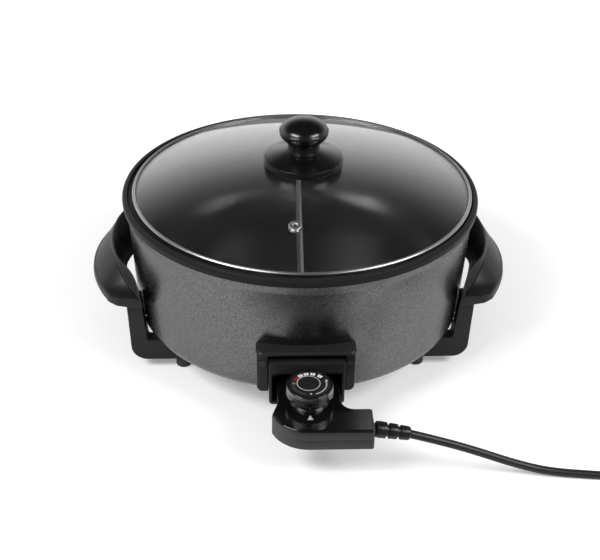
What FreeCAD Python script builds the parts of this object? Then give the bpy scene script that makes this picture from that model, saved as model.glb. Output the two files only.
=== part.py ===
import FreeCAD, Part
import math
import os

# Electric skillet: a deep round pan in a hammered steel casing, a glass lid with a knob,
# a loose divider plate, two crescent grips on four legs, and a plug-in temperature
# controller with its cord. Everything is drawn about the pan's own axis, with z up from
# the table, and moved at the end so that the origin is the middle of the footprint.
# Sizes in millimetres, angles in degrees.

V = FreeCAD.Vector
up = V(0, 0, 1)

# Pan and rim
rim_radius = 180.0
rim_height = 172.0
rim_top = rim_height + 2.0
rim_underside = 165.6
ledge_height = 170.0
ledge_radius = 174.4
pan_top_radius = 168.0
pan_floor_radius = 165.0
pan_floor_height = 64.0
pan_corner_radius = 45.0
pan_wall = 2.5
pan_floor_thickness = 3.0

# Outer casing
casing_top_radius = 176.0
casing_bottom_radius = 171.0
casing_bottom = 38.0
casing_corner_radius = 16.0
casing_sheet = 1.2
casing_flange_radius = 148.0
base_plate_radius = 152.0
base_plate_height = casing_bottom + casing_sheet
base_plate_sheet = 1.0

# Heating parts under the pan floor
pin_height = 53.0
element_ring_radius = 96.0
element_tube_radius = 4.0
pin_spacing = 40.0
pin_radius = 2.4
pin_front = -184.0
element_end = -150.0
bush_radius = 4.0
guide_radius = 3.3
guide_end = -98.0
spreader_radius = 112.0
reflector_radius = 106.0
reflector_height = 44.0

# Socket at the front; the shroud and the controller sit a little right of the pan's axis
socket_x = 2.2
shroud_x = 0.9
shroud_half_width = 35.3
shroud_wall = 3.0
shroud_bottom = 41.0
shroud_top = 88.8
shroud_lintel = 12.4
shroud_front = -187.0
shroud_waist = -169.6
shroud_back = -160.0
shroud_step = 67.0
bracket_x = 0.1
bracket_half_width = 46.5
bracket_screw_offset = 40.5
bracket_screw_height = 84.0
cheek_inset = 0.8
bracket_front = -185.0
bracket_top = 99.0
hood_bottom = 95.0
cheek_front = -180.0
cheek_bottom = 51.0
cheek_back = -150.0

# Grips and legs, drawn for the right side and mirrored
grip_reach = 216.0
grip_edge_height = 94.0
grip_edge_thickness = 8.5
grip_bottom_height = 82.0
grip_inner_sag = 3.2
grip_crest_width = 2.2
leg_front = 75.0
leg_depth = 15.5
leg_outer_top = 176.0
leg_outer_bottom = 174.0
leg_inner_top = 161.0
leg_inner_bottom = 157.0
leg_top = 87.0
arm_bottom = 11.0
arm_top = 35.0
arm_end = 90.0
arm_corner_radius = 16.0
leg_clearance = 0.4
foot_x = 122.0
foot_radius = 8.0
leg_screw_x = 101.0
leg_wall_screw_height = 60.0
leg_wall_screw_y = 63.5
grip_screw_x = 169.0
grip_screw_seat = 70.0
grip_screw_top = 93.0
screw_radius = 1.8

# Divider plate
divider_thickness = 2.6
divider_top = 158.0
divider_gap = 1.2
divider_turn = -1.2

# Lid: it rests slightly to the right in its seat
lid_x = 1.8
lid_ring_radius = 171.8
lid_ring_inner = 168.3
lid_ring_lip = 168.0
lid_ring_bottom = ledge_height + 0.3
lid_edge_height = 174.6
lid_crown_height = 199.6
glass_thickness = 4.0
glass_radius = 169.0
vent_radius = 110.0
vent_angle = 264.3
vent_bore = 4.6
flange_radius = 40.0
cap_radius = 24.6
knob_x = 2.5
knob_bottom = 199.8
flange_height = 14.4
knob_screw_radius = 2.6

# Controller
body_top = 63.0
body_bottom = 41.5
parting_height = 52.0
body_wall = 2.2
body_top_edge = 1.8
body_bottom_edge = 0.6
body_front = -251.5
nose_half_width = 29.0
flare_start = -210.0
shoulder_reach = 34.6
shoulder_y = -228.0
corner_reach = 24.6
nose_back = -167.0
nose_front = -193.0
nose_bottom = 44.6
probe_radius = 2.9
probe_back = -190.0
probe_tip = -108.0
sleeve_front = -192.0
sleeve_radius = 3.3
arm_rear = -220.4
arm_reach = 56.3
dial_y = -208.9
dial_top_radius = 19.4
dial_radius = 21.5
dial_bottom = 72.2
dial_top = 82.4
scale_radius = 18.3
flute_count = 64
flute_radius = 0.65
collar_radius = 16.0
relief_y = -236.5
relief_droop = 10.5
relief_length = 30.6

# Cord
cord_diameter = 7.8
cord_rest = cord_diameter / 2 + 0.05
coil_centre = V(342.0, -212.5, 0)
coil_mean_radius = 37.0
coil_layers = 2
tail_height = 19.0

# The footprint runs from the controller's front to the back of the rim
pan_shift = V(0, (-body_front - rim_radius) / 2, 0)


def save(name, shape):
    """Move a finished piece to the shared origin and write it."""
    moved = shape.copy()
    moved.translate(pan_shift)
    moved.exportStep("parts/" + name + ".step")
    volume = moved.Volume / 1000.0
    print(name, "valid", moved.isValid(), "solids", len(moved.Solids), "volume %.1f cm3" % volume)


def cylinder(radius, bottom, top, x=0.0, y=0.0):
    return Part.makeCylinder(radius, top - bottom, V(x, y, bottom), up)


def rod(radius, start, end):
    """A cylinder between two points."""
    return Part.makeCylinder(radius, (end - start).Length, start, end - start)


def block(x0, x1, y0, y1, z0, z1):
    return Part.makeBox(x1 - x0, y1 - y0, z1 - z0, V(x0, y0, z0))


def polyline(points):
    """A closed face from corner points."""
    return Part.Face(Part.makePolygon(points + points[:1]))


def turned(profile, centre=V(0, 0, 0), axis=up, angle=360):
    """A face in a plane through the axis, turned about it."""
    return profile.revolve(centre, axis, angle)


def rounded_path(points, radii):
    """A closed wire through corner points, each corner rounded by its own radius."""
    edges = []
    starts = []
    ends = []
    count = len(points)
    for index, corner in enumerate(points):
        before = (points[index - 1] - corner).normalize()
        after = (points[(index + 1) % count] - corner).normalize()
        radius = radii[index]
        if radius == 0:
            starts.append(corner)
            ends.append(corner)
            edges.append(None)
            continue
        half = before.getAngle(after) / 2
        reach = radius / math.tan(half)
        first = corner + before * reach
        last = corner + after * reach
        bisector = (before + after).normalize()
        middle = corner + bisector * (radius / math.sin(half) - radius)
        starts.append(first)
        ends.append(last)
        edges.append(Part.Arc(first, middle, last).toShape())
    path = []
    for index in range(count):
        if edges[index] is not None:
            path.append(edges[index])
        following = starts[(index + 1) % count]
        if (following - ends[index]).Length > 1e-6:
            path.append(Part.LineSegment(ends[index], following).toShape())
    return Part.Wire(path)


def slab(points, radii, height):
    """A rounded outline raised along +z from the plane that it is drawn in."""
    return Part.Face(rounded_path(points, radii)).extrude(V(0, 0, height))


def both_sides(shape):
    return shape, shape.mirror(V(0, 0, 0), V(1, 0, 0))


def four_corners(shape):
    """The right front piece and its three mirror images."""
    back = shape.mirror(V(0, 0, 0), V(0, 1, 0))
    pair = [shape, back]
    return pair + [piece.mirror(V(0, 0, 0), V(1, 0, 0)) for piece in pair]


def casing_radius(height):
    """Outer radius of the casing's wall at a height above the table."""
    foot = casing_bottom + casing_corner_radius
    slope = (casing_top_radius - casing_bottom_radius) / (rim_underside - foot)
    return casing_bottom_radius + slope * (height - foot)


def cooking_pan():
    """Deep bowl with a rounded corner, a ledge for the lid and a rolled rim."""
    inner = pan_floor_radius - pan_corner_radius
    rise = pan_floor_height + pan_corner_radius
    outer_corner = pan_corner_radius + pan_wall
    underside = pan_floor_height - pan_floor_thickness
    half = math.sqrt(0.5)
    line = Part.LineSegment

    def arc(x, z, radius):
        return V(x + radius * half, 0, z - radius * half)

    edges = [
        line(V(0, 0, pan_floor_height), V(inner, 0, pan_floor_height)),
        Part.Arc(V(inner, 0, pan_floor_height), arc(inner, rise, pan_corner_radius),
                 V(pan_floor_radius, 0, rise)),
        line(V(pan_floor_radius, 0, rise), V(pan_top_radius, 0, ledge_height)),
        line(V(pan_top_radius, 0, ledge_height), V(ledge_radius, 0, ledge_height)),
        line(V(ledge_radius, 0, ledge_height), V(ledge_radius + 0.6, 0, rim_top - 1.2)),
        Part.Arc(V(ledge_radius + 0.6, 0, rim_top - 1.2), V(ledge_radius + 1.2, 0, rim_top - 0.2),
                 V(ledge_radius + 2.2, 0, rim_top)),
        Part.Arc(V(ledge_radius + 2.2, 0, rim_top), V(rim_radius - 0.75, 0, rim_top - 0.9),
                 V(rim_radius, 0, rim_top - 3.2)),
        line(V(rim_radius, 0, rim_top - 3.2), V(rim_radius - 0.3, 0, rim_underside + 0.8)),
        line(V(rim_radius - 0.3, 0, rim_underside + 0.8), V(rim_radius - 1.2, 0, rim_underside)),
        line(V(rim_radius - 1.2, 0, rim_underside), V(pan_top_radius + pan_wall, 0, rim_underside)),
        line(V(pan_top_radius + pan_wall, 0, rim_underside), V(pan_floor_radius + pan_wall, 0, rise)),
        Part.Arc(V(pan_floor_radius + pan_wall, 0, rise), arc(inner, rise, outer_corner),
                 V(inner, 0, rise - outer_corner)),
        line(V(inner, 0, rise - outer_corner), V(inner - 6, 0, underside)),
        line(V(inner - 6, 0, underside), V(0, 0, underside)),
        line(V(0, 0, underside), V(0, 0, pan_floor_height)),
    ]
    return turned(Part.Face(Part.Wire([edge.toShape() for edge in edges])))


def shroud_outline():
    """The socket shroud's outside: a tall mouth with a lower box behind it."""
    left = shroud_x - shroud_half_width
    right = shroud_x + shroud_half_width
    mouth = block(left, right, shroud_front, shroud_waist, shroud_bottom, shroud_top)
    box = block(left, right, shroud_waist, shroud_back, shroud_bottom, shroud_step)
    return mouth.fuse(box).removeSplitter()


def outer_casing():
    """Sheet casing with a rounded lower corner, a bottom flange and the socket's window."""
    half = math.sqrt(0.5)
    corner_z = casing_bottom + casing_corner_radius
    corner_x = casing_bottom_radius - casing_corner_radius
    inner_radius = casing_corner_radius - casing_sheet
    top_inside = casing_top_radius - casing_sheet
    line = Part.LineSegment
    edges = [
        line(V(casing_top_radius, 0, rim_underside), V(casing_bottom_radius, 0, corner_z)),
        Part.Arc(V(casing_bottom_radius, 0, corner_z),
                 V(corner_x + casing_corner_radius * half, 0, corner_z - casing_corner_radius * half),
                 V(corner_x, 0, casing_bottom)),
        line(V(corner_x, 0, casing_bottom), V(casing_flange_radius, 0, casing_bottom)),
        line(V(casing_flange_radius, 0, casing_bottom), V(casing_flange_radius, 0, base_plate_height)),
        line(V(casing_flange_radius, 0, base_plate_height), V(corner_x, 0, base_plate_height)),
        Part.Arc(V(corner_x, 0, base_plate_height),
                 V(corner_x + inner_radius * half, 0, corner_z - inner_radius * half),
                 V(corner_x + inner_radius, 0, corner_z)),
        line(V(corner_x + inner_radius, 0, corner_z), V(top_inside, 0, rim_underside)),
        line(V(top_inside, 0, rim_underside), V(casing_top_radius, 0, rim_underside)),
    ]
    casing = turned(Part.Face(Part.Wire([edge.toShape() for edge in edges])))
    casing = casing.cut(shroud_outline())
    for screw in bracket_screws():
        casing = casing.cut(screw)
    for screw in leg_wall_screws():
        casing = casing.cut(screw)
    return casing


def base_plate():
    """Flat closing disc on the casing's flange, with vent slots and screw holes."""
    top = base_plate_height + base_plate_sheet
    plate = cylinder(base_plate_radius, base_plate_height, top)
    for step in range(8):
        slot = block(62, 92, -1.6, 1.6, base_plate_height - 1, top + 1)
        slot.rotate(V(0, 0, 0), up, 22.5 + 45 * step)
        plate = plate.cut(slot)
    plate = plate.cut(cylinder(3.2, base_plate_height - 1, top + 1))
    for hole in four_corners(cylinder(2.6, base_plate_height - 1, top + 1, leg_screw_x, -leg_middle())):
        plate = plate.cut(hole)
    return plate


def leg_middle():
    """Distance of a leg's middle plane from the pan's side axis."""
    return leg_front - leg_depth / 2


def heat_spreader():
    bottom = pin_height + element_tube_radius
    return cylinder(spreader_radius, bottom, pan_floor_height - pan_floor_thickness)


def heating_element():
    """Tubular ring, open at the front, whose two ends bend forward to the socket."""
    offset = pin_spacing / 2
    bend = 16.0
    centre_x = offset + bend
    centre_y = -math.sqrt((element_ring_radius + bend) ** 2 - centre_x ** 2)
    touch_angle = math.atan2(-centre_y, -centre_x)
    middle_angle = (math.pi + touch_angle) / 2

    def on_bend(angle, side):
        x = centre_x + bend * math.cos(angle)
        return V(side * x, centre_y + bend * math.sin(angle), pin_height)

    start = V(offset, element_end, pin_height)
    end = V(-offset, element_end, pin_height)
    path = Part.Wire([
        Part.LineSegment(start, on_bend(math.pi, 1)).toShape(),
        Part.Arc(on_bend(math.pi, 1), on_bend(middle_angle, 1), on_bend(touch_angle, 1)).toShape(),
        Part.Arc(on_bend(touch_angle, 1), V(0, element_ring_radius, pin_height),
                 on_bend(touch_angle, -1)).toShape(),
        Part.Arc(on_bend(touch_angle, -1), on_bend(middle_angle, -1), on_bend(math.pi, -1)).toShape(),
        Part.LineSegment(on_bend(math.pi, -1), end).toShape(),
    ])
    section = Part.Wire(Part.makeCircle(element_tube_radius, start, V(0, 1, 0)))
    tube = path.makePipeShell([section], True, False)
    tube.translate(V(socket_x, 0, 0))
    return tube


def element_clamps():
    """Three staples that hold the element against the spreader."""
    bottom = pin_height - element_tube_radius
    top = pin_height + element_tube_radius
    clamps = []
    for angle in (90, 190, 350):
        staple = block(-15, 15, -5, 5, bottom - 1.5, top)
        staple = staple.cut(block(-9, 9, -6, 6, bottom, top + 1))
        staple.translate(V(element_ring_radius + 0.2, 0, 0))
        staple.rotate(V(0, 0, 0), up, angle)
        staple.translate(V(socket_x, 0, 0))
        clamps.append(staple)
    return Part.makeCompound(clamps)


def reflector():
    plate = cylinder(reflector_radius, reflector_height, reflector_height + 0.8)
    return plate.cut(cylinder(3.2, reflector_height - 1, reflector_height + 2))


def centre_stud():
    """Threaded stud that carries the reflector and the base plate."""
    bottom = pin_height + element_tube_radius
    stud = cylinder(3.0, base_plate_height - 5.5, bottom)
    return stud.fuse(cylinder(7.0, bottom - 2.0, bottom)).removeSplitter()


def stud_spacer():
    top = reflector_height
    spacer = cylinder(6.0, base_plate_height + base_plate_sheet, top)
    return spacer.cut(cylinder(3.1, base_plate_height, top + 1))


def hexagon(radius, bottom, top, x=0.0, y=0.0):
    corners = []
    for step in range(6):
        angle = math.radians(60 * step)
        corners.append(V(x + radius * math.cos(angle), y + radius * math.sin(angle), bottom))
    return polyline(corners).extrude(V(0, 0, top - bottom))


def stud_nut():
    nut = hexagon(5.6, base_plate_height - 4.5, base_plate_height)
    return nut.cut(cylinder(3.0, base_plate_height - 6, base_plate_height + 1))


def socket_shroud():
    """Rectangular tube through the casing; its back wall carries pins and probe guide."""
    shroud = shroud_outline()
    low_edges = [edge for edge in shroud.Edges
                 if abs(edge.tangentAt(edge.FirstParameter).y) > 0.9
                 and edge.BoundBox.ZMax < shroud_bottom + 1]
    shroud = shroud.makeFillet(4.0, low_edges)
    left = shroud_x - shroud_half_width + shroud_wall
    right = shroud_x + shroud_half_width - shroud_wall
    floor = shroud_bottom + shroud_wall
    front = shroud_front - 1
    mouth = block(left, right, front, shroud_waist - shroud_wall, floor, shroud_top - shroud_lintel)
    box = block(left, right, front, shroud_back - shroud_wall, floor, shroud_step - shroud_wall)
    shroud = shroud.cut(mouth.fuse(box))
    for offset in (-pin_spacing / 2, 0, pin_spacing / 2):
        hole = V(socket_x + offset, shroud_back, pin_height)
        shroud = shroud.cut(rod(bush_radius, hole - V(0, 6, 0), hole + V(0, 1, 0)))
    return shroud


def terminal_pins():
    """Two flat-ended pins between the element's ends and the controller's sleeves."""
    pins = []
    for side in (-1, 1):
        x = socket_x + side * pin_spacing / 2
        pins.append(rod(pin_radius, V(x, pin_front, pin_height), V(x, element_end, pin_height)))
    return pins


def pin_bushes():
    """Ceramic bushes that hold the pins in the shroud's back wall."""
    bushes = []
    for side in (-1, 1):
        wall = V(socket_x + side * pin_spacing / 2, shroud_back, pin_height)
        bush = rod(bush_radius, wall - V(0, shroud_wall, 0), wall)
        bush = bush.fuse(rod(bush_radius + 1.5, wall, wall + V(0, 5, 0)))
        bore = rod(pin_radius, wall - V(0, 5, 0), wall + V(0, 8, 0))
        bushes.append(bush.cut(bore).removeSplitter())
    return Part.makeCompound(bushes)


def probe_guide():
    """Closed tube under the pan floor that the controller's probe slides into."""
    mouth = V(socket_x, shroud_back - shroud_wall, pin_height)
    end = V(socket_x, guide_end, pin_height)
    outer = rod(bush_radius, mouth, end)
    bore = rod(guide_radius, mouth - V(0, 7, 0), end - V(0, 2, 0))
    return outer.cut(bore)


def bracket_screws():
    """Two screws through the bracket's top corners into the casing."""
    screws = []
    for side in (-1, 1):
        seat = V(bracket_x + side * bracket_screw_offset, cheek_front, bracket_screw_height)
        head = rod(3.4, seat - V(0, 0.6, 0), seat + V(0, 1.4, 0))
        shank = rod(screw_radius, seat, seat + V(0, 15.5, 0))
        screws.append(head.fuse(shank).removeSplitter())
    return screws


def socket_bracket():
    """Hood with two cheeks around the shroud, its back fitted to the casing's wall."""
    left = bracket_x - bracket_half_width
    right = bracket_x + bracket_half_width
    hood = slab([V(left, bracket_front, hood_bottom), V(right, bracket_front, hood_bottom),
                 V(right, cheek_back, hood_bottom), V(left, cheek_back, hood_bottom)],
                [7.0, 7.0, 0, 0], bracket_top - hood_bottom)
    top_edges = [edge for edge in hood.Edges
                 if edge.BoundBox.ZMin > bracket_top - 0.1 and edge.BoundBox.YMax < cheek_back - 1]
    bracket = hood.makeFillet(2.2, top_edges)
    for side in (-1, 1):
        inner = shroud_x + side * (shroud_half_width + 0.4)
        outer = bracket_x + side * (bracket_half_width - cheek_inset)
        outline = [V(inner, cheek_front, hood_bottom), V(outer, cheek_front, hood_bottom),
                   V(outer, cheek_front, cheek_bottom), V(inner, cheek_front, cheek_bottom)]
        cheek = Part.Face(rounded_path(outline, [0, 0, 6.0, 2.0]))
        bracket = bracket.fuse(cheek.extrude(V(0, cheek_back - cheek_front, 0)))
    wall = Part.makeCone(casing_radius(casing_bottom), casing_radius(120), 120 - casing_bottom,
                         V(0, 0, casing_bottom), up)
    bracket = bracket.cut(wall).removeSplitter()
    for screw in bracket_screws():
        bracket = bracket.cut(screw)
    return bracket


def grip_section(u, crest_x, crest_z, groove_x, groove_z):
    """Section of a grip at the distance u from its middle: edge, underside, crest, valley, groove."""
    edge_x = grip_reach - 0.00372 * u * u - 0.26 * max(0.0, u - 79) ** 1.4
    inner_x = 182.0 - 0.31 * (math.sqrt(u * u + 64) - 8)
    inner_z = grip_bottom_height - grip_inner_sag * max(0.0, 1 - (u / 75) ** 2)
    ridge_x = crest_x + grip_crest_width * (1 - u / 200)
    scoop = min(1.0, max(0.0, (u - 36) / 20))
    valley_x = groove_x - 0.35 * (groove_x - ridge_x)
    valley_z = groove_z + 0.35 * (crest_z - groove_z) * (1 - scoop) - 1.4 * scoop
    return [
        (edge_x - 1.0, grip_edge_height - 1.2),
        (edge_x, grip_edge_height - 7.0),
        (edge_x - 1.6, grip_edge_height - grip_edge_thickness),
        (inner_x + 3.0, inner_z),
        (inner_x, inner_z + 1.6),
        (crest_x, crest_z - 0.8),
        (crest_x + 0.6, crest_z),
        (ridge_x, crest_z + 0.2),
        (valley_x, valley_z),
        (groove_x, groove_z),
        (edge_x - 2.6, grip_edge_height + 0.2),
    ]


# Stations along half a grip: distance from its middle, crest x and z, groove edge x and z
grip_stations = [
    (0.0, 191.8, 123.0, 196.6, 119.4),
    (16.0, 191.0, 122.9, 195.4, 119.0),
    (24.0, 190.1, 122.8, 194.2, 118.6),
    (32.0, 188.7, 122.6, 192.2, 118.0),
    (40.0, 186.6, 122.2, 189.4, 116.8),
    (48.0, 183.8, 121.2, 186.6, 114.0),
    (55.0, 179.1, 118.6, 184.0, 110.6),
    (60.0, 174.6, 116.0, 181.4, 107.2),
    (65.0, 169.9, 112.6, 177.8, 103.4),
    (70.0, 165.9, 107.6, 173.7, 99.4),
    (75.0, 163.0, 101.0, 169.3, 96.3),
    (81.0, 160.3, 95.6, 166.0, 94.9),
    (86.6, 159.0, 94.6, 164.0, 94.6),
]


def grip():
    """Crescent grip lofted through its stations, the same to the front and the back."""
    sections = []
    mirrored = [(-station[0],) + station[1:] for station in grip_stations[:0:-1]]
    for station in mirrored + grip_stations:
        corners = grip_section(abs(station[0]), *station[1:])
        points = [V(x, station[0], z) for x, z in corners]
        sections.append(Part.makePolygon(points + points[:1]))
    crescent = Part.makeLoft(sections, True, False)
    for hole in grip_screws():
        crescent = crescent.cut(hole)
    return crescent


def grip_screws():
    """Screws from deep bores in the legs up into the ends of the right grip."""
    screws = []
    for side in (-1, 1):
        y = side * leg_middle()
        shank = cylinder(screw_radius, grip_screw_seat, grip_screw_top, grip_screw_x, y)
        head = cylinder(3.0, grip_screw_seat - 2.4, grip_screw_seat, grip_screw_x, y)
        screws.append(shank.fuse(head).removeSplitter())
    return screws


def leg_outline():
    """Outline of a leg and its arm in the side plane at the front face."""
    y = -leg_front
    points = [
        V(leg_inner_top, y, leg_top),
        V(leg_outer_top, y, leg_top),
        V(leg_outer_bottom, y, arm_bottom),
        V(arm_end, y, arm_bottom),
        V(arm_end, y, base_plate_height),
        V(leg_screw_x + 11, y, base_plate_height),
        V(leg_screw_x + 11, y, arm_top),
        V(leg_inner_bottom, y, arm_top),
    ]
    return rounded_path(points, [0, 0, arm_corner_radius, 3.0, 0, 0, 0, 1.0])


def leg_wall_screws():
    """Screws from inside the casing, square to its wall, into the four legs."""
    inside = casing_radius(leg_wall_screw_height) - casing_sheet
    outward = V(math.sqrt(inside ** 2 - leg_wall_screw_y ** 2), -leg_wall_screw_y, 0).normalize()
    seat = outward * inside + V(0, 0, leg_wall_screw_height)
    head = Part.makeCylinder(3.0, 2.4, seat - outward * 2.4, outward)
    shank = Part.makeCylinder(screw_radius, 13.0, seat, outward)
    return four_corners(head.fuse(shank).removeSplitter())


def leg_base_screws():
    """Screws up through the arms into nuts on the base plate."""
    y = -leg_middle()
    head = cylinder(4.6, arm_bottom + 3, arm_bottom + 6, leg_screw_x, y)
    shank = cylinder(2.5, arm_bottom + 6, base_plate_height + 6, leg_screw_x, y)
    return four_corners(head.fuse(shank).removeSplitter())


def leg_nuts():
    y = -leg_middle()
    bottom = base_plate_height + base_plate_sheet
    nut = hexagon(4.6, bottom, bottom + 4, leg_screw_x, y)
    return four_corners(nut.cut(cylinder(2.5, bottom - 1, bottom + 6, leg_screw_x, y)))


def right_front_leg(right_grip):
    """Upright with a foot arm that runs in under the pan, cleared from the casing."""
    leg = Part.Face(leg_outline()).extrude(V(0, leg_depth, 0))
    front_edges = [edge for edge in leg.Edges if edge.BoundBox.YMax < -leg_front + 0.01]
    leg = leg.makeChamfer(1.0, front_edges)
    low = casing_bottom + casing_corner_radius
    high = 130.0
    wall = Part.makeCone(casing_radius(low) + leg_clearance, casing_radius(high) + leg_clearance,
                         high - low, V(0, 0, low), up)
    corner = Part.makeTorus(casing_bottom_radius - casing_corner_radius,
                            casing_corner_radius + leg_clearance, V(0, 0, low), up)
    leg = leg.cut(wall).cut(corner).cut(right_grip)
    y = -leg_middle()
    leg = leg.cut(cylinder(2.5, arm_bottom - 1, base_plate_height + 1, leg_screw_x, y))
    leg = leg.cut(cylinder(5.2, arm_bottom - 1, arm_bottom + 6, leg_screw_x, y))
    leg = leg.cut(cylinder(4.0, arm_bottom - 1, arm_bottom + 6, foot_x, y))
    leg = leg.cut(cylinder(3.4, arm_bottom - 1, grip_screw_seat, grip_screw_x, y))
    for screw in grip_screws() + leg_wall_screws():
        leg = leg.cut(screw)
    return leg


def foot():
    """Rubber foot with a plug that presses into the arm."""
    y = -leg_middle()
    pad = cylinder(foot_radius, 0, arm_bottom, foot_x, y)
    rim = [edge for edge in pad.Edges if edge.BoundBox.ZMax < 0.1]
    pad = pad.makeFillet(1.5, rim)
    return pad.fuse(cylinder(4.0, arm_bottom, arm_bottom + 6, foot_x, y)).removeSplitter()


def divider():
    """Loose upright plate across the pan, cut to the bowl's section."""
    bottom = pan_floor_height + 0.4
    rise = pan_floor_height + pan_corner_radius
    slope = (pan_top_radius - pan_floor_radius) / (ledge_height - rise)
    low = pan_floor_radius - divider_gap - slope * (rise - bottom)
    high = pan_floor_radius - divider_gap + slope * (divider_top - rise)
    points = [V(0, -low, bottom), V(0, low, bottom), V(0, high, divider_top), V(0, -high, divider_top)]
    outline = rounded_path(points, [pan_corner_radius + 2, pan_corner_radius + 2, 5.0, 5.0])
    plate = Part.Face(outline).extrude(V(divider_thickness, 0, 0))
    plate.translate(V(-divider_thickness / 2, 0, 0))
    plate.rotate(V(0, 0, 0), up, divider_turn)
    return plate


def lid_sphere():
    """Radius of the sphere that the glass's upper face is a part of."""
    rise = lid_crown_height - lid_edge_height
    return (glass_radius ** 2 + rise ** 2) / (2 * rise)


def lid_curve(radius_at, drop=0.0):
    """Height of the glass's upper face at a distance from the lid's middle."""
    sphere = lid_sphere()
    return lid_crown_height - sphere + math.sqrt((sphere - drop) ** 2 - radius_at ** 2)


def lid_glass():
    """Shallow spherical dome with bores for the knob screw and the steam vent."""
    top = V(0, 0, lid_curve(0))
    middle = V(glass_radius / 2, 0, lid_curve(glass_radius / 2))
    edge = V(glass_radius, 0, lid_curve(glass_radius))
    low_edge = V(glass_radius, 0, lid_curve(glass_radius, glass_thickness))
    low_middle = V(glass_radius / 2, 0, lid_curve(glass_radius / 2, glass_thickness))
    bottom = V(0, 0, lid_curve(0, glass_thickness))
    edges = [
        Part.Arc(top, middle, edge).toShape(),
        Part.LineSegment(edge, low_edge).toShape(),
        Part.Arc(low_edge, low_middle, bottom).toShape(),
        Part.LineSegment(bottom, top).toShape(),
    ]
    dome = turned(Part.Face(Part.Wire(edges)))
    dome = dome.cut(cylinder(4.0, bottom.z - 5, top.z + 5))
    dome = dome.cut(vent_tool(vent_bore, 20))
    dome.translate(V(lid_x, 0, 0))
    return dome


def vent_place():
    """Point on the glass's upper face where the vent sits, and the normal there."""
    angle = math.radians(vent_angle)
    point = V(vent_radius * math.cos(angle), vent_radius * math.sin(angle), lid_curve(vent_radius))
    normal = (point - V(0, 0, lid_crown_height - lid_sphere())).normalize()
    return point, normal


def vent_tool(radius, length):
    point, normal = vent_place()
    return Part.makeCylinder(radius, length, point - normal * (length / 2), normal)


def vent_grommet():
    """Steel eyelet: a flange above and below the glass with a tube between them."""
    point, normal = vent_place()
    upper = Part.makeCylinder(6.4, 1.3, point, normal)
    rim = [edge for edge in upper.Edges if (edge.CenterOfMass - point).dot(normal) > 1.2]
    upper = upper.makeFillet(0.9, rim)
    tube = Part.makeCylinder(vent_bore, glass_thickness, point - normal * glass_thickness, normal)
    lower = Part.makeCylinder(6.4, 1.0, point - normal * (glass_thickness + 1.0), normal)
    eyelet = upper.fuse(tube).fuse(lower).removeSplitter()
    eyelet = eyelet.cut(vent_tool(2.0, 30))
    eyelet.translate(V(lid_x, 0, 0))
    return eyelet.cut(lid_glass())


def lid_ring():
    """Rolled steel band that holds the glass's edge and rests on the pan's ledge."""
    outer = lid_ring_radius
    inner = lid_ring_inner
    lip = lid_ring_lip
    top = lid_curve(glass_radius) + 1.5
    groove_top = lid_curve(glass_radius)
    groove_bottom = lid_curve(glass_radius, glass_thickness)
    points = [
        V(outer - 0.6, 0, lid_ring_bottom),
        V(outer, 0, lid_ring_bottom + 0.8),
        V(outer, 0, top - 1.8),
        V(outer - 0.6, 0, top - 0.6),
        V(outer - 1.8, 0, top),
        V(inner + 1.0, 0, top - 0.1),
        V(inner, 0, top - 0.7),
        V(inner, 0, lid_curve(inner)),
        V(glass_radius, 0, groove_top),
        V(glass_radius, 0, groove_bottom),
        V(lip, 0, lid_curve(lip, glass_thickness)),
        V(lip, 0, lid_ring_bottom),
    ]
    ring = turned(polyline(points))
    ring.translate(V(lid_x, 0, 0))
    return ring.cut(lid_glass())


def knob_seal():
    """Rubber washer between the glass and the knob's flange."""
    edge = 30.0
    seal = cylinder(edge, lid_curve(edge), knob_bottom).cut(cylinder(4.2, 0, knob_bottom + 1))
    seal.translate(V(knob_x, 0, 0))
    return seal.cut(lid_glass())


def knob_flange():
    """Round guard plate: straight side, shallow cone on top and a flat seat for the neck."""
    low = knob_bottom
    side_top = low + 7.8
    points = [
        V(knob_screw_radius, 0, low),
        V(flange_radius - 2.0, 0, low),
        V(flange_radius, 0, low + 1.2),
        V(flange_radius, 0, side_top - 1.0),
        V(flange_radius - 1.2, 0, side_top),
        V(17.0, 0, low + flange_height),
        V(knob_screw_radius, 0, low + flange_height),
    ]
    plate = turned(polyline(points))
    plate.translate(V(knob_x, 0, 0))
    return plate


def knob_cap():
    """Straight neck under a bowl and a flattened dome, with a blind bore for the screw."""
    seat = knob_bottom + flange_height
    bore_top = seat + 16.0
    bore = knob_screw_radius
    equator = 234.2
    crown = 247.6
    shoulder_x = 19.0
    shoulder = 242.9
    dome = (shoulder_x ** 2 + (crown - shoulder) ** 2) / (2 * (crown - shoulder))
    half_x = shoulder_x / 2
    half_z = crown - dome + math.sqrt(dome ** 2 - half_x ** 2)
    edges = [
        Part.LineSegment(V(bore, 0, seat), V(16.6, 0, seat)),
        Part.LineSegment(V(16.6, 0, seat), V(16.0, 0, seat + 1.0)),
        Part.LineSegment(V(16.0, 0, seat + 1.0), V(16.1, 0, seat + 5.6)),
        Part.Arc(V(16.1, 0, seat + 5.6), V(20.9, 0, seat + 11.0), V(cap_radius, 0, equator)),
        Part.Arc(V(cap_radius, 0, equator), V(23.3, 0, equator + 4.6), V(shoulder_x, 0, shoulder)),
        Part.Arc(V(shoulder_x, 0, shoulder), V(half_x, 0, half_z), V(0, 0, crown)),
        Part.LineSegment(V(0, 0, crown), V(0, 0, bore_top)),
        Part.LineSegment(V(0, 0, bore_top), V(bore, 0, bore_top)),
        Part.LineSegment(V(bore, 0, bore_top), V(bore, 0, seat)),
    ]
    cap = turned(Part.Face(Part.Wire([edge.toShape() for edge in edges])))
    cap.translate(V(knob_x, 0, 0))
    return cap


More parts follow.
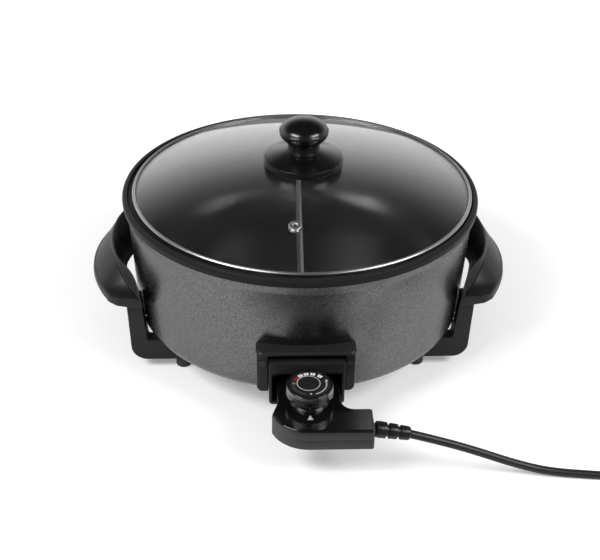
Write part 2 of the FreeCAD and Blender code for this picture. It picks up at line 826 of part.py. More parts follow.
def knob_screw():
    """Screw and washer under the glass that hold the knob."""
    under = lid_curve(10.0, glass_thickness)
    screw = cylinder(knob_screw_radius, under - 2.4, knob_bottom + flange_height + 15.0)
    screw = screw.fuse(cylinder(9.0, under - 1.2, under)).fuse(cylinder(4.6, under - 3.6, under - 1.2))
    screw.translate(V(knob_x, 0, 0))
    return screw.removeSplitter()


def controller_outline(z, inset=0.0):
    """Plan of the controller: nose, curved left shoulder and the arm to the right."""
    left = socket_x - nose_half_width + inset
    right = socket_x + nose_half_width - inset
    shoulder = socket_x - shoulder_reach + 1.06 * inset
    corner = socket_x - corner_reach + 0.66 * inset
    end = socket_x + arm_reach - inset
    front = body_front + inset
    points = [
        V(left, nose_back - inset, z),
        V(left, flare_start - 0.15 * inset, z),
        V(shoulder, shoulder_y, z),
        V(corner, front, z),
        V(end, front, z),
        V(end, arm_rear - inset, z),
        V(right, arm_rear - inset, z),
        V(right, nose_back - inset, z),
    ]
    nose = 6.0 - inset / 2
    end_corner = 2.5 - inset / 2
    return points, [nose, 14.0, 4.0 - inset / 2, 35.0 - inset, end_corner, end_corner, 12.0 + inset, nose]


def housing_half(bottom, top, outer_face, edge_radius, cavity):
    """One half of the controller's shell, rounded on its outer face and hollow inside."""
    points, radii = controller_outline(bottom)
    shell = slab(points, radii, top - bottom)
    rim = [edge for edge in shell.Edges
           if abs(edge.BoundBox.ZMin - outer_face) < 0.01
           and abs(edge.BoundBox.ZMax - outer_face) < 0.01]
    shell = shell.makeFillet(edge_radius, rim)
    shell = shell.cut(cavity)
    for offset, radius in ((-pin_spacing / 2, 3.4), (0, 2.95), (pin_spacing / 2, 3.4)):
        x = socket_x + offset
        shell = shell.cut(rod(radius, V(x, nose_back - 6, pin_height), V(x, nose_back + 1, pin_height)))
    return shell.cut(relief_neck())


def relief_axis():
    droop = math.radians(relief_droop)
    start = V(socket_x + arm_reach, relief_y, parting_height)
    return start, V(math.cos(droop), 0, -math.sin(droop))


def relief_neck():
    """The strain relief's inner stub, which the housing's end wall closes on."""
    start = relief_axis()[0]
    return Part.makeCylinder(5.2, 7.0, start - V(6.0, 0, 0), V(1, 0, 0))


def housing_lower():
    """Lower half; its nose is stepped up to pass into the shroud."""
    points, radii = controller_outline(body_bottom + body_wall, body_wall)
    cavity = slab(points, radii, parting_height - body_bottom)
    nose_floor = block(-60, 60, nose_front - body_wall, nose_back + 1,
                       body_bottom, nose_bottom + body_wall)
    half = housing_half(body_bottom, parting_height, body_bottom, body_bottom_edge,
                        cavity.cut(nose_floor))
    half = half.cut(block(-60, 60, nose_front, nose_back + 1, body_bottom - 1, nose_bottom))
    for x, y in housing_screw_places():
        half = half.fuse(cylinder(4.0, body_bottom + body_wall, parting_height, x, y))
    for screw in housing_screws():
        half = half.cut(screw)
    return half.removeSplitter()


def housing_upper():
    """Upper half with the bore for the dial's shaft."""
    points, radii = controller_outline(parting_height - 1, body_wall)
    cavity = slab(points, radii, body_top - body_wall - parting_height + 1)
    half = housing_half(parting_height, body_top, body_top, body_top_edge, cavity)
    half = half.cut(cylinder(3.1, parting_height, body_top + 2, socket_x, dial_y))
    for x, y in housing_screw_places():
        half = half.fuse(cylinder(4.0, parting_height, body_top - body_wall, x, y))
    for screw in housing_screws():
        half = half.cut(screw)
    return half.removeSplitter()


def housing_screw_places():
    return [(socket_x - 24, -231.0), (socket_x + 12, -244.0), (socket_x + 43.6, -227.4)]


def housing_screws():
    """Three screws from below that hold the two halves together."""
    screws = []
    for x, y in housing_screw_places():
        head = cylinder(2.8, body_bottom + 0.8, body_bottom + 2.6, x, y)
        shank = cylinder(1.3, body_bottom + 2.6, body_top - 3.4, x, y)
        screws.append(head.fuse(shank).removeSplitter())
    return screws


def contact_sleeves():
    """Brass sleeves in the nose that grip the two pins."""
    sleeves = []
    for side in (-1, 1):
        x = socket_x + side * pin_spacing / 2
        outer = rod(sleeve_radius, V(x, sleeve_front, pin_height), V(x, nose_back - 0.6, pin_height))
        bore = rod(pin_radius + 0.08, V(x, sleeve_front + 3, pin_height), V(x, nose_back + 1, pin_height))
        sleeves.append(outer.cut(bore))
    return sleeves


def sensor_probe():
    """Steel probe with a rounded tip, held in the nose."""
    tip = V(socket_x, probe_tip, pin_height)
    probe = rod(probe_radius, V(socket_x, probe_back, pin_height), tip)
    return probe.fuse(Part.makeSphere(probe_radius, tip)).removeSplitter()


def thermostat_block():
    """Switch block under the dial."""
    bottom = body_bottom + body_wall + 0.1
    step = pin_height - 3.2
    base = block(socket_x - 14, socket_x + 14, -224, -196, bottom, step)
    return base.fuse(block(socket_x - 9, socket_x + 9, -219, -197, step, 56.4)).removeSplitter()


def dial_shaft():
    """Shaft from the switch block up into the dial."""
    return cylinder(3.0, 56.6, dial_top - 3.0, socket_x, dial_y)


def dial_collar():
    """Fixed stepped collar on the housing that the dial turns on."""
    low = body_top
    points = [
        V(3.2, 0, low),
        V(collar_radius + 1.4, 0, low),
        V(collar_radius + 1.4, 0, low + 1.2),
        V(collar_radius, 0, low + 1.8),
        V(collar_radius, 0, dial_bottom - 4.6),
        V(collar_radius - 0.7, 0, dial_bottom - 4.2),
        V(collar_radius - 0.7, 0, dial_bottom - 3.2),
        V(collar_radius, 0, dial_bottom - 2.8),
        V(collar_radius, 0, dial_bottom - 0.4),
        V(3.2, 0, dial_bottom - 0.4),
    ]
    collar = turned(polyline(points))
    collar.translate(V(socket_x, dial_y, 0))
    return collar


def dial():
    """Round dial with a bevelled shoulder and small grip flutes round its lower edge."""
    points = [
        V(3.0, 0, dial_bottom),
        V(dial_radius - 0.4, 0, dial_bottom),
        V(dial_radius, 0, dial_bottom + 0.4),
        V(dial_radius, 0, dial_bottom + 6.6),
        V(dial_radius - 0.6, 0, dial_bottom + 7.8),
        V(dial_top_radius, 0, dial_top - 0.4),
        V(dial_top_radius - 0.6, 0, dial_top),
        V(scale_radius + 0.1, 0, dial_top),
        V(scale_radius + 0.1, 0, dial_top - 0.4),
        V(0, 0, dial_top - 0.4),
        V(0, 0, dial_top - 3.0),
        V(3.0, 0, dial_top - 3.0),
    ]
    body = turned(polyline(points))
    flutes = []
    for step in range(flute_count):
        angle = 2 * math.pi * step / flute_count
        x = (dial_radius + 0.35) * math.cos(angle)
        y = (dial_radius + 0.35) * math.sin(angle)
        flutes.append(cylinder(flute_radius, dial_bottom - 1, dial_bottom + 5.0, x, y))
    body = body.cut(Part.makeCompound(flutes))
    body.translate(V(socket_x, dial_y, 0))
    return body


def dial_scale():
    """Thin printed disc let into the dial's top."""
    return cylinder(scale_radius, dial_top - 0.4, dial_top, socket_x, dial_y)


def relief_profile():
    """Radii of the strain relief along its axis: three broad ribs that taper."""
    return [(0.0, 7.7), (8.0, 7.3), (8.8, 5.4), (10.2, 5.3), (11.2, 7.1), (18.2, 6.8),
            (19.0, 5.1), (20.4, 5.0), (21.4, 6.6), (29.2, 6.2), (relief_length, 4.9)]


def strain_relief():
    """Ribbed sleeve that leaves the arm's end and droops a little with the cord."""
    start = relief_axis()[0]
    points = [V(radius, 0, along) for along, radius in relief_profile()]
    points = [V(0, 0, 0)] + points + [V(0, 0, relief_length)]
    sleeve = turned(polyline(points))
    sleeve.rotate(V(0, 0, 0), V(0, 1, 0), 90 + relief_droop)
    sleeve.translate(start + V(1.7, 0, 0))
    collar = Part.makeCylinder(7.4, 3.0, start, V(1, 0, 0))
    sleeve = sleeve.fuse(collar).fuse(relief_neck())
    outside = block(start.x - 8, start.x, relief_y - 20, relief_y + 20, 0, 100).cut(relief_neck())
    return sleeve.cut(outside).removeSplitter()


def relief_end():
    """Where the cord leaves the strain relief."""
    start, direction = relief_axis()
    return start + V(1.7, 0, 0) + direction * relief_length


def cord_route():
    """Hand-laid points from the strain relief down to the table and on to the coil."""
    first = relief_end()
    return [
        first,
        V(124.0, -236.9, 36.2),
        V(156.0, -238.2, 25.0),
        V(190.0, -240.6, 12.4),
        V(222.0, -243.6, cord_rest + 0.6),
        V(256.0, -247.6, cord_rest),
        V(292.0, -251.2, cord_rest),
        V(322.0, coil_centre.y - coil_mean_radius - 0.4, cord_rest),
    ]


def tail_route():
    """Points from the coil's outer side to the plug."""
    side = coil_centre.x + coil_mean_radius
    return [
        V(side - 1.5, coil_centre.y + 8.0, tail_height),
        V(side - 1.4, coil_centre.y + 29.0, tail_height),
        V(side - 3.6, coil_centre.y + 48.0, tail_height - 0.3),
        V(side - 6.6, coil_centre.y + 63.0, tail_height - 0.8),
    ]


def cord_tube(points, label):
    """A round tube along straight runs that are joined by tangent arcs."""
    edges = []
    at = points[0]
    for index in range(1, len(points) - 1):
        corner = points[index]
        back = points[index - 1] - corner
        ahead = points[index + 1] - corner
        turn = math.pi - back.getAngle(ahead)
        reach = 0.45 * min(back.Length, ahead.Length)
        radius = reach / math.tan(turn / 2)
        back.normalize()
        ahead.normalize()
        start = corner + back * reach
        end = corner + ahead * reach
        bisector = (back + ahead).normalize()
        middle = corner + bisector * (radius / math.cos(turn / 2) - radius)
        edges.append(Part.LineSegment(at, start).toShape())
        edges.append(Part.Arc(start, middle, end).toShape())
        at = end
        print(label, "point", index, "turn %.1f" % math.degrees(turn), "radius %.0f" % radius)
    edges.append(Part.LineSegment(at, points[-1]).toShape())
    path = Part.Wire(edges)
    heading = points[1] - points[0]
    section = Part.Wire(Part.makeCircle(cord_diameter / 2, points[0], heading))
    tube = path.makePipeShell([section], True, False)
    expected = math.pi * cord_diameter ** 2 / 4 * path.Length
    print(label, "length %.0f" % path.Length, "volume over expected %.4f" % (tube.Volume / expected))
    return tube


def cord_coil():
    """Outer shape of the put-away turns: a flat ring, two turns wide and two high."""
    inner = coil_mean_radius - cord_diameter
    outer = coil_mean_radius + cord_diameter
    height = coil_layers * cord_diameter
    ring = cylinder(outer, 0.05, height + 0.05).cut(cylinder(inner, -1, height + 2))
    rims = [edge for edge in ring.Edges if edge.BoundBox.ZLength < 0.01]
    ring = ring.makeFillet(2.6, rims)
    ring.translate(coil_centre)
    return ring


def plug_frame():
    """Where the tail ends and the way that the plug points."""
    tail = tail_route()
    return tail[-1], (tail[-1] - tail[-2]).normalize()


def along_plug(profile, start_at):
    """A turned profile laid along the plug's axis."""
    origin, heading = plug_frame()
    flat = V(heading.x, heading.y, 0).normalize()
    piece = turned(polyline(profile))
    piece.rotate(V(0, 0, 0), V(0, 1, 0), 90)
    piece.rotate(V(0, 0, 0), up, math.degrees(math.atan2(flat.y, flat.x)))
    piece.translate(V(origin.x, origin.y, origin.z) + flat * start_at)
    return piece


def plug():
    """Round mains plug with its moulded sleeve and a recess round the pins."""
    points = [V(0, 0, 0), V(4.4, 0, 0), V(5.6, 0, 16), V(9.0, 0, 18), V(15.0, 0, 27), V(18.0, 0, 31),
              V(18.0, 0, 44), V(17.0, 0, 45), V(0, 0, 45)]
    body = along_plug(points, 0.0)
    for pin in plug_pins():
        body = body.cut(pin)
    return body


def plug_pins():
    """Two round pins that stand out of the plug's face."""
    origin, heading = plug_frame()
    flat = V(heading.x, heading.y, 0).normalize()
    across = V(-flat.y, flat.x, 0)
    pins = []
    for side in (-1, 1):
        base = V(origin.x, origin.y, origin.z) + flat * 37 + across * (9.5 * side)
        pin = Part.makeCylinder(2.4, 27, base, flat)
        tip = [edge for edge in pin.Edges if (edge.CenterOfMass - base).dot(flat) > 26.9]
        pins.append(pin.makeFillet(1.2, tip))
    return pins


def main():
    os.makedirs("parts", exist_ok=True)
    save("cooking_pan", cooking_pan())
    save("outer_casing", outer_casing())
    save("base_plate", base_plate())
    save("heat_spreader", heat_spreader())
    save("heating_element", heating_element())
    save("element_clamps", element_clamps())
    save("reflector", reflector())
    save("centre_stud", centre_stud())
    save("stud_spacer", stud_spacer())
    save("stud_nut", stud_nut())

    save("socket_shroud", socket_shroud())
    save("socket_bracket", socket_bracket())
    save("bracket_screws", Part.makeCompound(bracket_screws()))
    save("terminal_pins", Part.makeCompound(terminal_pins()))
    save("pin_bushes", pin_bushes())
    save("probe_guide", probe_guide())

    right_grip, left_grip = both_sides(grip())
    save("right_grip", right_grip)
    save("left_grip", left_grip)
    legs = four_corners(right_front_leg(right_grip))
    for name, leg in zip(("right_front_leg", "right_rear_leg", "left_front_leg", "left_rear_leg"), legs):
        save(name, leg)
    save("rubber_feet", Part.makeCompound(four_corners(foot())))
    screws = []
    for screw in grip_screws():
        screws += both_sides(screw)
    save("grip_screws", Part.makeCompound(screws))
    save("leg_wall_screws", Part.makeCompound(leg_wall_screws()))
    save("leg_base_screws", Part.makeCompound(leg_base_screws()))
    save("leg_nuts", Part.makeCompound(leg_nuts()))

    save("divider", divider())

    save("lid_glass", lid_glass())
    save("lid_ring", lid_ring())
    save("vent_grommet", vent_grommet())
    save("knob_seal", knob_seal())
    save("knob_flange", knob_flange())
    save("knob_cap", knob_cap())
    save("knob_screw", knob_screw())

    save("housing_lower", housing_lower())
    save("housing_upper", housing_upper())
    save("housing_screws", Part.makeCompound(housing_screws()))
    save("contact_sleeves", Part.makeCompound(contact_sleeves()))
    save("sensor_probe", sensor_probe())
    save("thermostat_block", thermostat_block())
    save("dial_collar", dial_collar())
    save("dial_shaft", dial_shaft())
    save("dial", dial())
    save("dial_scale", dial_scale())

    save("strain_relief", strain_relief())
    save("cord_lead", cord_tube(cord_route(), "cord_lead"))
    save("cord_coil", cord_coil())
    save("cord_tail", cord_tube(tail_route(), "cord_tail"))
    save("plug", plug())
    save("plug_pins", Part.makeCompound(plug_pins()))


main()
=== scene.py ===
import math
import bpy
import numpy as np
from mathutils import Matrix, Vector


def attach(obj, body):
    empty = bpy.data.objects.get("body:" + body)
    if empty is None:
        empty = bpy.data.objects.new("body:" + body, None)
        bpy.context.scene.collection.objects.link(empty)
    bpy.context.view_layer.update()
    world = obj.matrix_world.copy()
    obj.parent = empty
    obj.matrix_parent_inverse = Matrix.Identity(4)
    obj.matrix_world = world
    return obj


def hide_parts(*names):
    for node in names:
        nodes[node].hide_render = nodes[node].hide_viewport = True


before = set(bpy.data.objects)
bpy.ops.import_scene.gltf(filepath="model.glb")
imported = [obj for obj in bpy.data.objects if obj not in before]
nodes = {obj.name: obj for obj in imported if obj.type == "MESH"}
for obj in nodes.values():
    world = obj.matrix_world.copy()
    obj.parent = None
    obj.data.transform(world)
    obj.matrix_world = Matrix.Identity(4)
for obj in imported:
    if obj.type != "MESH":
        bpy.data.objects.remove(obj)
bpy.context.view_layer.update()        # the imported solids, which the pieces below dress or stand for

# Electric skillet: pan, casing, glass lid, crescent grips on legs, divider, plug-in controller, cord.
# Sizes are in millimetres about the pan's own axis; toMetres puts them in the shared frame.
panShift = 35.75         # the pan's axis stands this far behind the origin
print("frame loaded:", len(nodes), "solids")


def toMetres(points):
    return (np.asarray(points, float) + (0.0, panShift, 0.0)) / 1000.0


def unit(vectors):
    return vectors / np.linalg.norm(vectors, axis=-1, keepdims=True)


def roundCorners(points, radii, steps=7, closed=True):
    # Each corner becomes an arc that touches both its sides. Its centre is on their bisector, at the
    # radius over the sine of half the corner's angle, and points turn evenly from side to side.
    points = np.asarray(points, float)
    inner = points if closed else points[..., 1:-1, :]
    before = unit((np.roll(points, 1, -2) if closed else points[..., :-2, :]) - inner)
    after = unit((np.roll(points, -1, -2) if closed else points[..., 2:, :]) - inner)
    radii = np.maximum(np.broadcast_to(np.asarray(radii, float), inner.shape[:-1]), 0.02)[..., None]
    half = np.arccos(np.clip((before * after).sum(-1, keepdims=True), -0.999999, 0.999999)) / 2
    centre = inner + unit(before + after) * radii / np.sin(half)
    reach = radii / np.tan(half)
    first = ((inner + before * reach - centre) / radii)[..., None, :]
    last = ((inner + after * reach - centre) / radii)[..., None, :]
    turn = (np.pi - 2 * half)[..., None, :]
    share = np.linspace(0, 1, steps)[:, None]
    arcs = (np.sin((1 - share) * turn) * first + np.sin(share * turn) * last) / np.sin(turn)
    arcs = centre[..., None, :] + radii[..., None, :] * arcs
    arcs = arcs.reshape(*points.shape[:-2], -1, points.shape[-1])
    return arcs if closed else np.concatenate([points[..., :1, :], arcs, points[..., -1:, :]], -2)


def outward(vertices, faces):
    # The signed volume is the sum of a face's fan of corner products over six; a negative one turns the faces
    volume = 0.0
    for face in faces:
        corner, one, two = vertices[face[:, :1]], vertices[face[:, 1:-1]], vertices[face[:, 2:]]
        volume += (corner * np.cross(one, two)).sum() / 6
    return vertices, (faces if volume > 0 else [face[:, ::-1] for face in faces])


def skin(rows, closed=False, poles=None):
    # Quads between neighbouring rows of points, each row a loop. A closed skin joins the last row to
    # the first, and an open one ends in flat faces, or in fans when pole points are given.
    count, columns = rows.shape[:2]
    vertices = rows.reshape(-1, 3)
    r, c = np.meshgrid(np.arange(count if closed else count - 1), np.arange(columns), indexing="ij")
    r2, c2 = (r + 1) % count, (c + 1) % columns
    faces = [np.stack([r * columns + c, r * columns + c2, r2 * columns + c2, r2 * columns + c],
                      -1).reshape(-1, 4)]
    ring = np.arange(columns)
    last = ring + (count - 1) * columns
    if poles is not None:
        start = len(vertices)
        vertices = np.vstack([vertices, poles])
        faces.append(np.stack([np.full(columns, start), np.roll(ring, -1), ring], 1))
        faces.append(np.stack([np.full(columns, start + 1), last, np.roll(last, -1)], 1))
    elif not closed:
        faces += [ring[None, ::-1], last[None]]
    return outward(vertices, faces)


def turned(line, segments=192, centre=(0, 0), closed=False):
    # Points (radius, height) turned about an upright axis: x = radius times cosine, y = radius times sine.
    # A closed line makes a ring; an open one starts and ends on the axis, where the poles are.
    line = np.asarray(line, float)
    angle = np.linspace(0, 2 * np.pi, segments, endpoint=False)
    body = line if closed else line[1:-1]
    radius, height = body[:, :1], body[:, 1:]
    rows = np.stack([centre[0] + radius * np.cos(angle), centre[1] + radius * np.sin(angle),
                     height + 0 * angle], -1)
    if closed:
        return skin(rows, closed=True)
    return skin(rows, poles=[(*centre, line[0, 1]), (*centre, line[-1, 1])])


def tilted(shell, origin, axis):
    # A shell turned about +z is laid along another axis from an origin point
    vertices, faces = shell
    turn = np.array(Vector((0, 0, 1)).rotation_difference(Vector(axis)).to_matrix())
    return vertices @ turn.T + np.asarray(origin, float), faces


def softEdges(low, high, lowRadius, highRadius, steps=6):
    # (inset, height) steps of a slab: a quarter arc at either face and one more loop that keeps the face flat
    arc = np.linspace(0, np.pi / 2, steps)
    low0, high0 = max(lowRadius, 0.02), max(highRadius, 0.02)
    bottom = np.stack([low0 * (1 - np.sin(arc)), low + low0 * (1 - np.cos(arc))], 1)
    top = np.stack([high0 * (1 - np.cos(arc)), high - high0 * (1 - np.sin(arc))], 1)
    return np.vstack([[(low0 + 0.3, low)], bottom, top, [(high0 + 0.3, high)]])


def slab(outline, radii, edge, steps=7, stand="z"):
    # A rounded outline (counter-clockwise) carried along (inset, height) steps. A corner moves inwards
    # along the sum of its sides' normals; outer corners lose the inset from their radius, inner ones gain it.
    outline = np.asarray(outline, float)
    side = unit(np.roll(outline, -1, 0) - outline)
    normal = np.stack([-side[:, 1], side[:, 0]], 1)
    past = np.roll(normal, 1, 0)
    corner = (past + normal) / (1 + (past * normal).sum(1))[:, None]
    bend = np.sign(past[:, 0] * normal[:, 1] - past[:, 1] * normal[:, 0])
    inset, height = edge[:, 0, None, None], edge[:, 1, None]
    sharp = np.asarray(radii, float) - bend * edge[:, :1]
    plan = roundCorners(outline + corner * inset, np.maximum(sharp, 0.04), steps)
    height = height + 0 * plan[..., 0]
    order = {"z": (plan[..., 0], plan[..., 1], height), "y": (plan[..., 0], height, plan[..., 1]),
             "x": (height, plan[..., 0], plan[..., 1])}[stand]
    return skin(np.stack(order, -1))


def moved(shell, shift=(0, 0, 0), turn=0.0, mirror=(1, 1, 1)):
    # A shell turned about the upright axis, mirrored and shifted; outward sets its faces right again
    vertices, faces = shell
    c, s = math.cos(turn), math.sin(turn)
    vertices = (vertices @ np.array([[c, s, 0], [-s, c, 0], [0, 0, 1.0]])) * mirror + shift
    return outward(vertices, faces)


def smoothThrough(at, knots, values):
    # A curve through values at knots: each span is a cubic whose end slopes are the neighbours' slopes
    slopes = np.gradient(values, knots, axis=0)
    i = np.clip(np.searchsorted(knots, at) - 1, 0, len(knots) - 2)
    span = knots[i + 1] - knots[i]
    t = ((at - knots[i]) / span)[:, None]
    span = span[:, None]
    return ((2 * t**3 - 3 * t**2 + 1) * values[i] + (t**3 - 2 * t**2 + t) * span * slopes[i]
            + (3 * t**2 - 2 * t**3) * values[i + 1] + (t**3 - t**2) * span * slopes[i + 1])


def makeMesh(name, shells):
    mesh = bpy.data.meshes.new(name)
    starts = np.cumsum([0] + [len(vertices) for vertices, _ in shells])
    points = toMetres(np.vstack([vertices for vertices, _ in shells]))
    polygons = [face + start for (_, faces), start in zip(shells, starts) for face in faces]
    sizes = np.concatenate([np.full(len(face), face.shape[1]) for face in polygons])
    mesh.vertices.add(len(points))
    mesh.vertices.foreach_set("co", points.ravel())
    mesh.loops.add(int(sizes.sum()))
    mesh.loops.foreach_set("vertex_index", np.concatenate([face.ravel() for face in polygons]))
    mesh.polygons.add(len(sizes))
    mesh.polygons.foreach_set("loop_start", np.concatenate([[0], np.cumsum(sizes)[:-1]]))
    mesh.update(calc_edges=True)
    mesh.validate()
    return mesh


def addObject(name, data):
    made = bpy.data.objects.new(name, data)
    bpy.context.scene.collection.objects.link(made)
    return made


def bakedMesh(thing):
    # The mesh that an object shows once its modifiers or its text are worked out
    return bpy.data.meshes.new_from_object(thing.evaluated_get(bpy.context.evaluated_depsgraph_get()))


def makePiece(name, shells, skinMaterial, body, stands=(), cutters=(), sharp=38):
    # One piece from closed shells. Cutters are shells that are taken out of it.
    piece = addObject(name, makeMesh(name, shells))
    if cutters:
        tool = addObject("tool", makeMesh("tool", list(cutters)))
        cut = piece.modifiers.new("cut", "BOOLEAN")
        cut.object, cut.operation, cut.solver = tool, "DIFFERENCE", "EXACT"
        cut.use_self = True
        carved = bakedMesh(piece)
        piece.modifiers.clear()
        piece.data = carved
        bpy.data.objects.remove(tool)
    piece.data.shade_smooth()
    piece.data.set_sharp_from_angle(angle=math.radians(sharp))
    piece.data.materials.clear()
    piece.data.materials.append(skinMaterial)
    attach(piece, body)
    if stands:
        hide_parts(*stands)
    return piece


def put(tree, kind, inputs=(), **settings):
    # One shader node; its inputs are plain values or other nodes' outputs
    node = tree.nodes.new("ShaderNode" + kind)
    for key, value in settings.items():
        setattr(node, key, value)
    for key, value in dict(inputs).items():
        if isinstance(value, bpy.types.NodeSocket):
            tree.links.new(value, node.inputs[key])
        else:
            node.inputs[key].default_value = value
    return node


def grey(level, tint=(1.0, 1.0, 1.0)):
    return (level * tint[0], level * tint[1], level * tint[2], 1.0)


def startGroup(name, inputs, outputs):
    group = bpy.data.node_groups.new(name, "ShaderNodeTree")
    for label, value in inputs.items():
        socket = group.interface.new_socket(name=label, in_out="INPUT", socket_type="NodeSocketFloat")
        socket.default_value = value
    for label, kind in outputs.items():
        group.interface.new_socket(name=label, in_out="OUTPUT", socket_type=kind)
    return group, group.nodes.new("NodeGroupInput"), group.nodes.new("NodeGroupOutput")


def math2(tree, operation, a, b=0.0):
    return put(tree, "Math", {0: a, 1: b}, operation=operation).outputs[0]


def ramp(tree, value, start, stop, low, high, smooth=True):
    # A value that goes from low to high while another goes from start to stop
    node = put(tree, "MapRange", {"Value": value, "From Min": start, "From Max": stop, "To Min": low,
                                  "To Max": high})
    node.interpolation_type = "SMOOTHSTEP" if smooth else "LINEAR"
    return node.outputs["Result"]


def mixed(tree, mask, one, two):
    # A colour that goes from one to two with a mask
    return put(tree, "MixRGB", {"Fac": mask, "Color1": one, "Color2": two}).outputs[0]


def bumped(tree, shader, height, depth, size):
    # The height lifts the shader's normal
    bump = put(tree, "Bump", {"Height": height, "Strength": depth, "Distance": size})
    tree.links.new(bump.outputs[0], shader.inputs["Normal"])


def nodeOf(tree, kind):
    return next(node for node in tree.nodes if node.type == kind)


def makeMouldedGrain():
    # Spark-eroded plastic: small cells with finer noise over them, and soft cloudy patches
    group, given, result = startGroup("mouldedGrain", {"Grain Scale": 900.0, "Patch Scale": 18.0},
                                      {"Height": "NodeSocketFloat", "Speckle": "NodeSocketFloat",
                                       "Patches": "NodeSocketFloat"})
    place = put(group, "TexCoord").outputs["Object"]
    cells = put(group, "TexVoronoi", {"Vector": place, "Scale": given.outputs["Grain Scale"]},
                feature="SMOOTH_F1")
    fine = put(group, "TexNoise", {"Vector": place, "Detail": 3.0,
                                   "Scale": math2(group, "MULTIPLY", given.outputs["Grain Scale"], 1.7)})
    cloud = put(group, "TexNoise", {"Vector": place, "Scale": given.outputs["Patch Scale"], "Detail": 4.0,
                                    "Roughness": 0.6})
    height = math2(group, "ADD", math2(group, "MULTIPLY", cells.outputs["Distance"], 0.6),
                   math2(group, "MULTIPLY", fine.outputs["Fac"], 0.6))
    group.links.new(height, result.inputs["Height"])
    group.links.new(fine.outputs["Fac"], result.inputs["Speckle"])
    group.links.new(cloud.outputs["Fac"], result.inputs["Patches"])
    return group


def makeHammeredSkin():
    # Hammered enamel: swollen cells that a noise draws, finer pits over them, metal flakes and broad drift
    group, given, result = startGroup("hammeredSkin", {"Cell Scale": 620.0},
                                      {"Height": "NodeSocketFloat", "Flakes": "NodeSocketFloat",
                                       "Drift": "NodeSocketFloat"})
    place = put(group, "TexCoord").outputs["Object"]
    cells = put(group, "TexNoise", {"Vector": place, "Scale": given.outputs["Cell Scale"], "Detail": 1.5,
                                    "Roughness": 0.45, "Distortion": 0.5})
    shaped = ramp(group, cells.outputs["Fac"], 0.36, 0.64, 0.0, 1.0)
    pits = put(group, "TexNoise", {"Vector": place, "Scale": 1900.0, "Detail": 2.0})
    flakes = put(group, "TexVoronoi", {"Vector": place, "Scale": 2600.0}, feature="F1")
    flake = put(group, "SeparateColor", {0: flakes.outputs["Color"]}).outputs[0]
    drift = put(group, "TexNoise", {"Vector": place, "Scale": 9.0, "Detail": 3.0})
    height = math2(group, "ADD", shaped, math2(group, "MULTIPLY", pits.outputs["Fac"], 0.35))
    fleck = math2(group, "ADD", math2(group, "MULTIPLY", shaped, 0.75), math2(group, "MULTIPLY", flake, 0.25))
    group.links.new(height, result.inputs["Height"])
    group.links.new(fleck, result.inputs["Flakes"])
    group.links.new(drift.outputs["Fac"], result.inputs["Drift"])
    return group


def makeHandling():
    # Finger marks and dust: broad smears that change the roughness a little
    group, given, result = startGroup("handling", {"Smear Scale": 22.0}, {"Smears": "NodeSocketFloat"})
    place = put(group, "TexCoord").outputs["Object"]
    warp = put(group, "TexNoise", {"Vector": place, "Scale": 11.0, "Detail": 2.0})
    bent = put(group, "MixRGB", {"Fac": 0.05, "Color1": place, "Color2": warp.outputs["Color"]},
               blend_type="ADD")
    smear = put(group, "TexNoise", {"Vector": bent.outputs[0], "Scale": given.outputs["Smear Scale"],
                                    "Detail": 5.0, "Roughness": 0.65})
    shaped = ramp(group, smear.outputs["Fac"], 0.42, 0.7, 0.0, 1.0, smooth=False)
    group.links.new(shaped, result.inputs["Smears"])
    return group


def makeSpunLines():
    # Metal spun on a lathe: lines that run round the axis, so the pattern hangs on radius and height only
    group, given, result = startGroup("spunLines", {"Line Scale": 2400.0, "Axis X": 0.0, "Axis Y": 0.03575},
                                      {"Height": "NodeSocketFloat"})
    place = put(group, "TexCoord").outputs["Object"]
    axis = put(group, "CombineXYZ", {"X": given.outputs["Axis X"], "Y": given.outputs["Axis Y"]})
    local = put(group, "VectorMath", {0: place, 1: axis.outputs[0]}, operation="SUBTRACT")
    flat = put(group, "VectorMath", {0: local.outputs[0], 1: (1.0, 1.0, 0.0)}, operation="MULTIPLY")
    radius = put(group, "VectorMath", {0: flat.outputs[0]}, operation="LENGTH").outputs["Value"]
    height = put(group, "SeparateXYZ", {0: local.outputs[0]}).outputs["Z"]
    along = put(group, "CombineXYZ", {"X": radius, "Y": height})
    lines = put(group, "TexNoise", {"Vector": along.outputs[0], "Scale": given.outputs["Line Scale"],
                                    "Detail": 4.0})
    group.links.new(lines.outputs["Fac"], result.inputs["Height"])
    return group


groups = {"mouldedGrain": makeMouldedGrain(), "hammeredSkin": makeHammeredSkin(), "handling": makeHandling(),
          "spunLines": makeSpunLines()}


def useGroup(tree, name, **values):
    node = tree.nodes.new("ShaderNodeGroup")
    node.node_tree = groups[name]
    for key, value in values.items():
        node.inputs[key].default_value = value
    return node


def startMaterial(name, sockets):
    made = bpy.data.materials.new(name)
    made.use_nodes = True
    tree = made.node_tree
    tree.nodes.clear()
    shader = put(tree, "BsdfPrincipled", sockets)
    put(tree, "OutputMaterial", {"Surface": shader.outputs[0]})
    return made, tree, shader


def varied(tree, mask, low, high):
    # A value that goes from low to high with a mask
    return ramp(tree, mask, 0.0, 1.0, low, high, smooth=False)


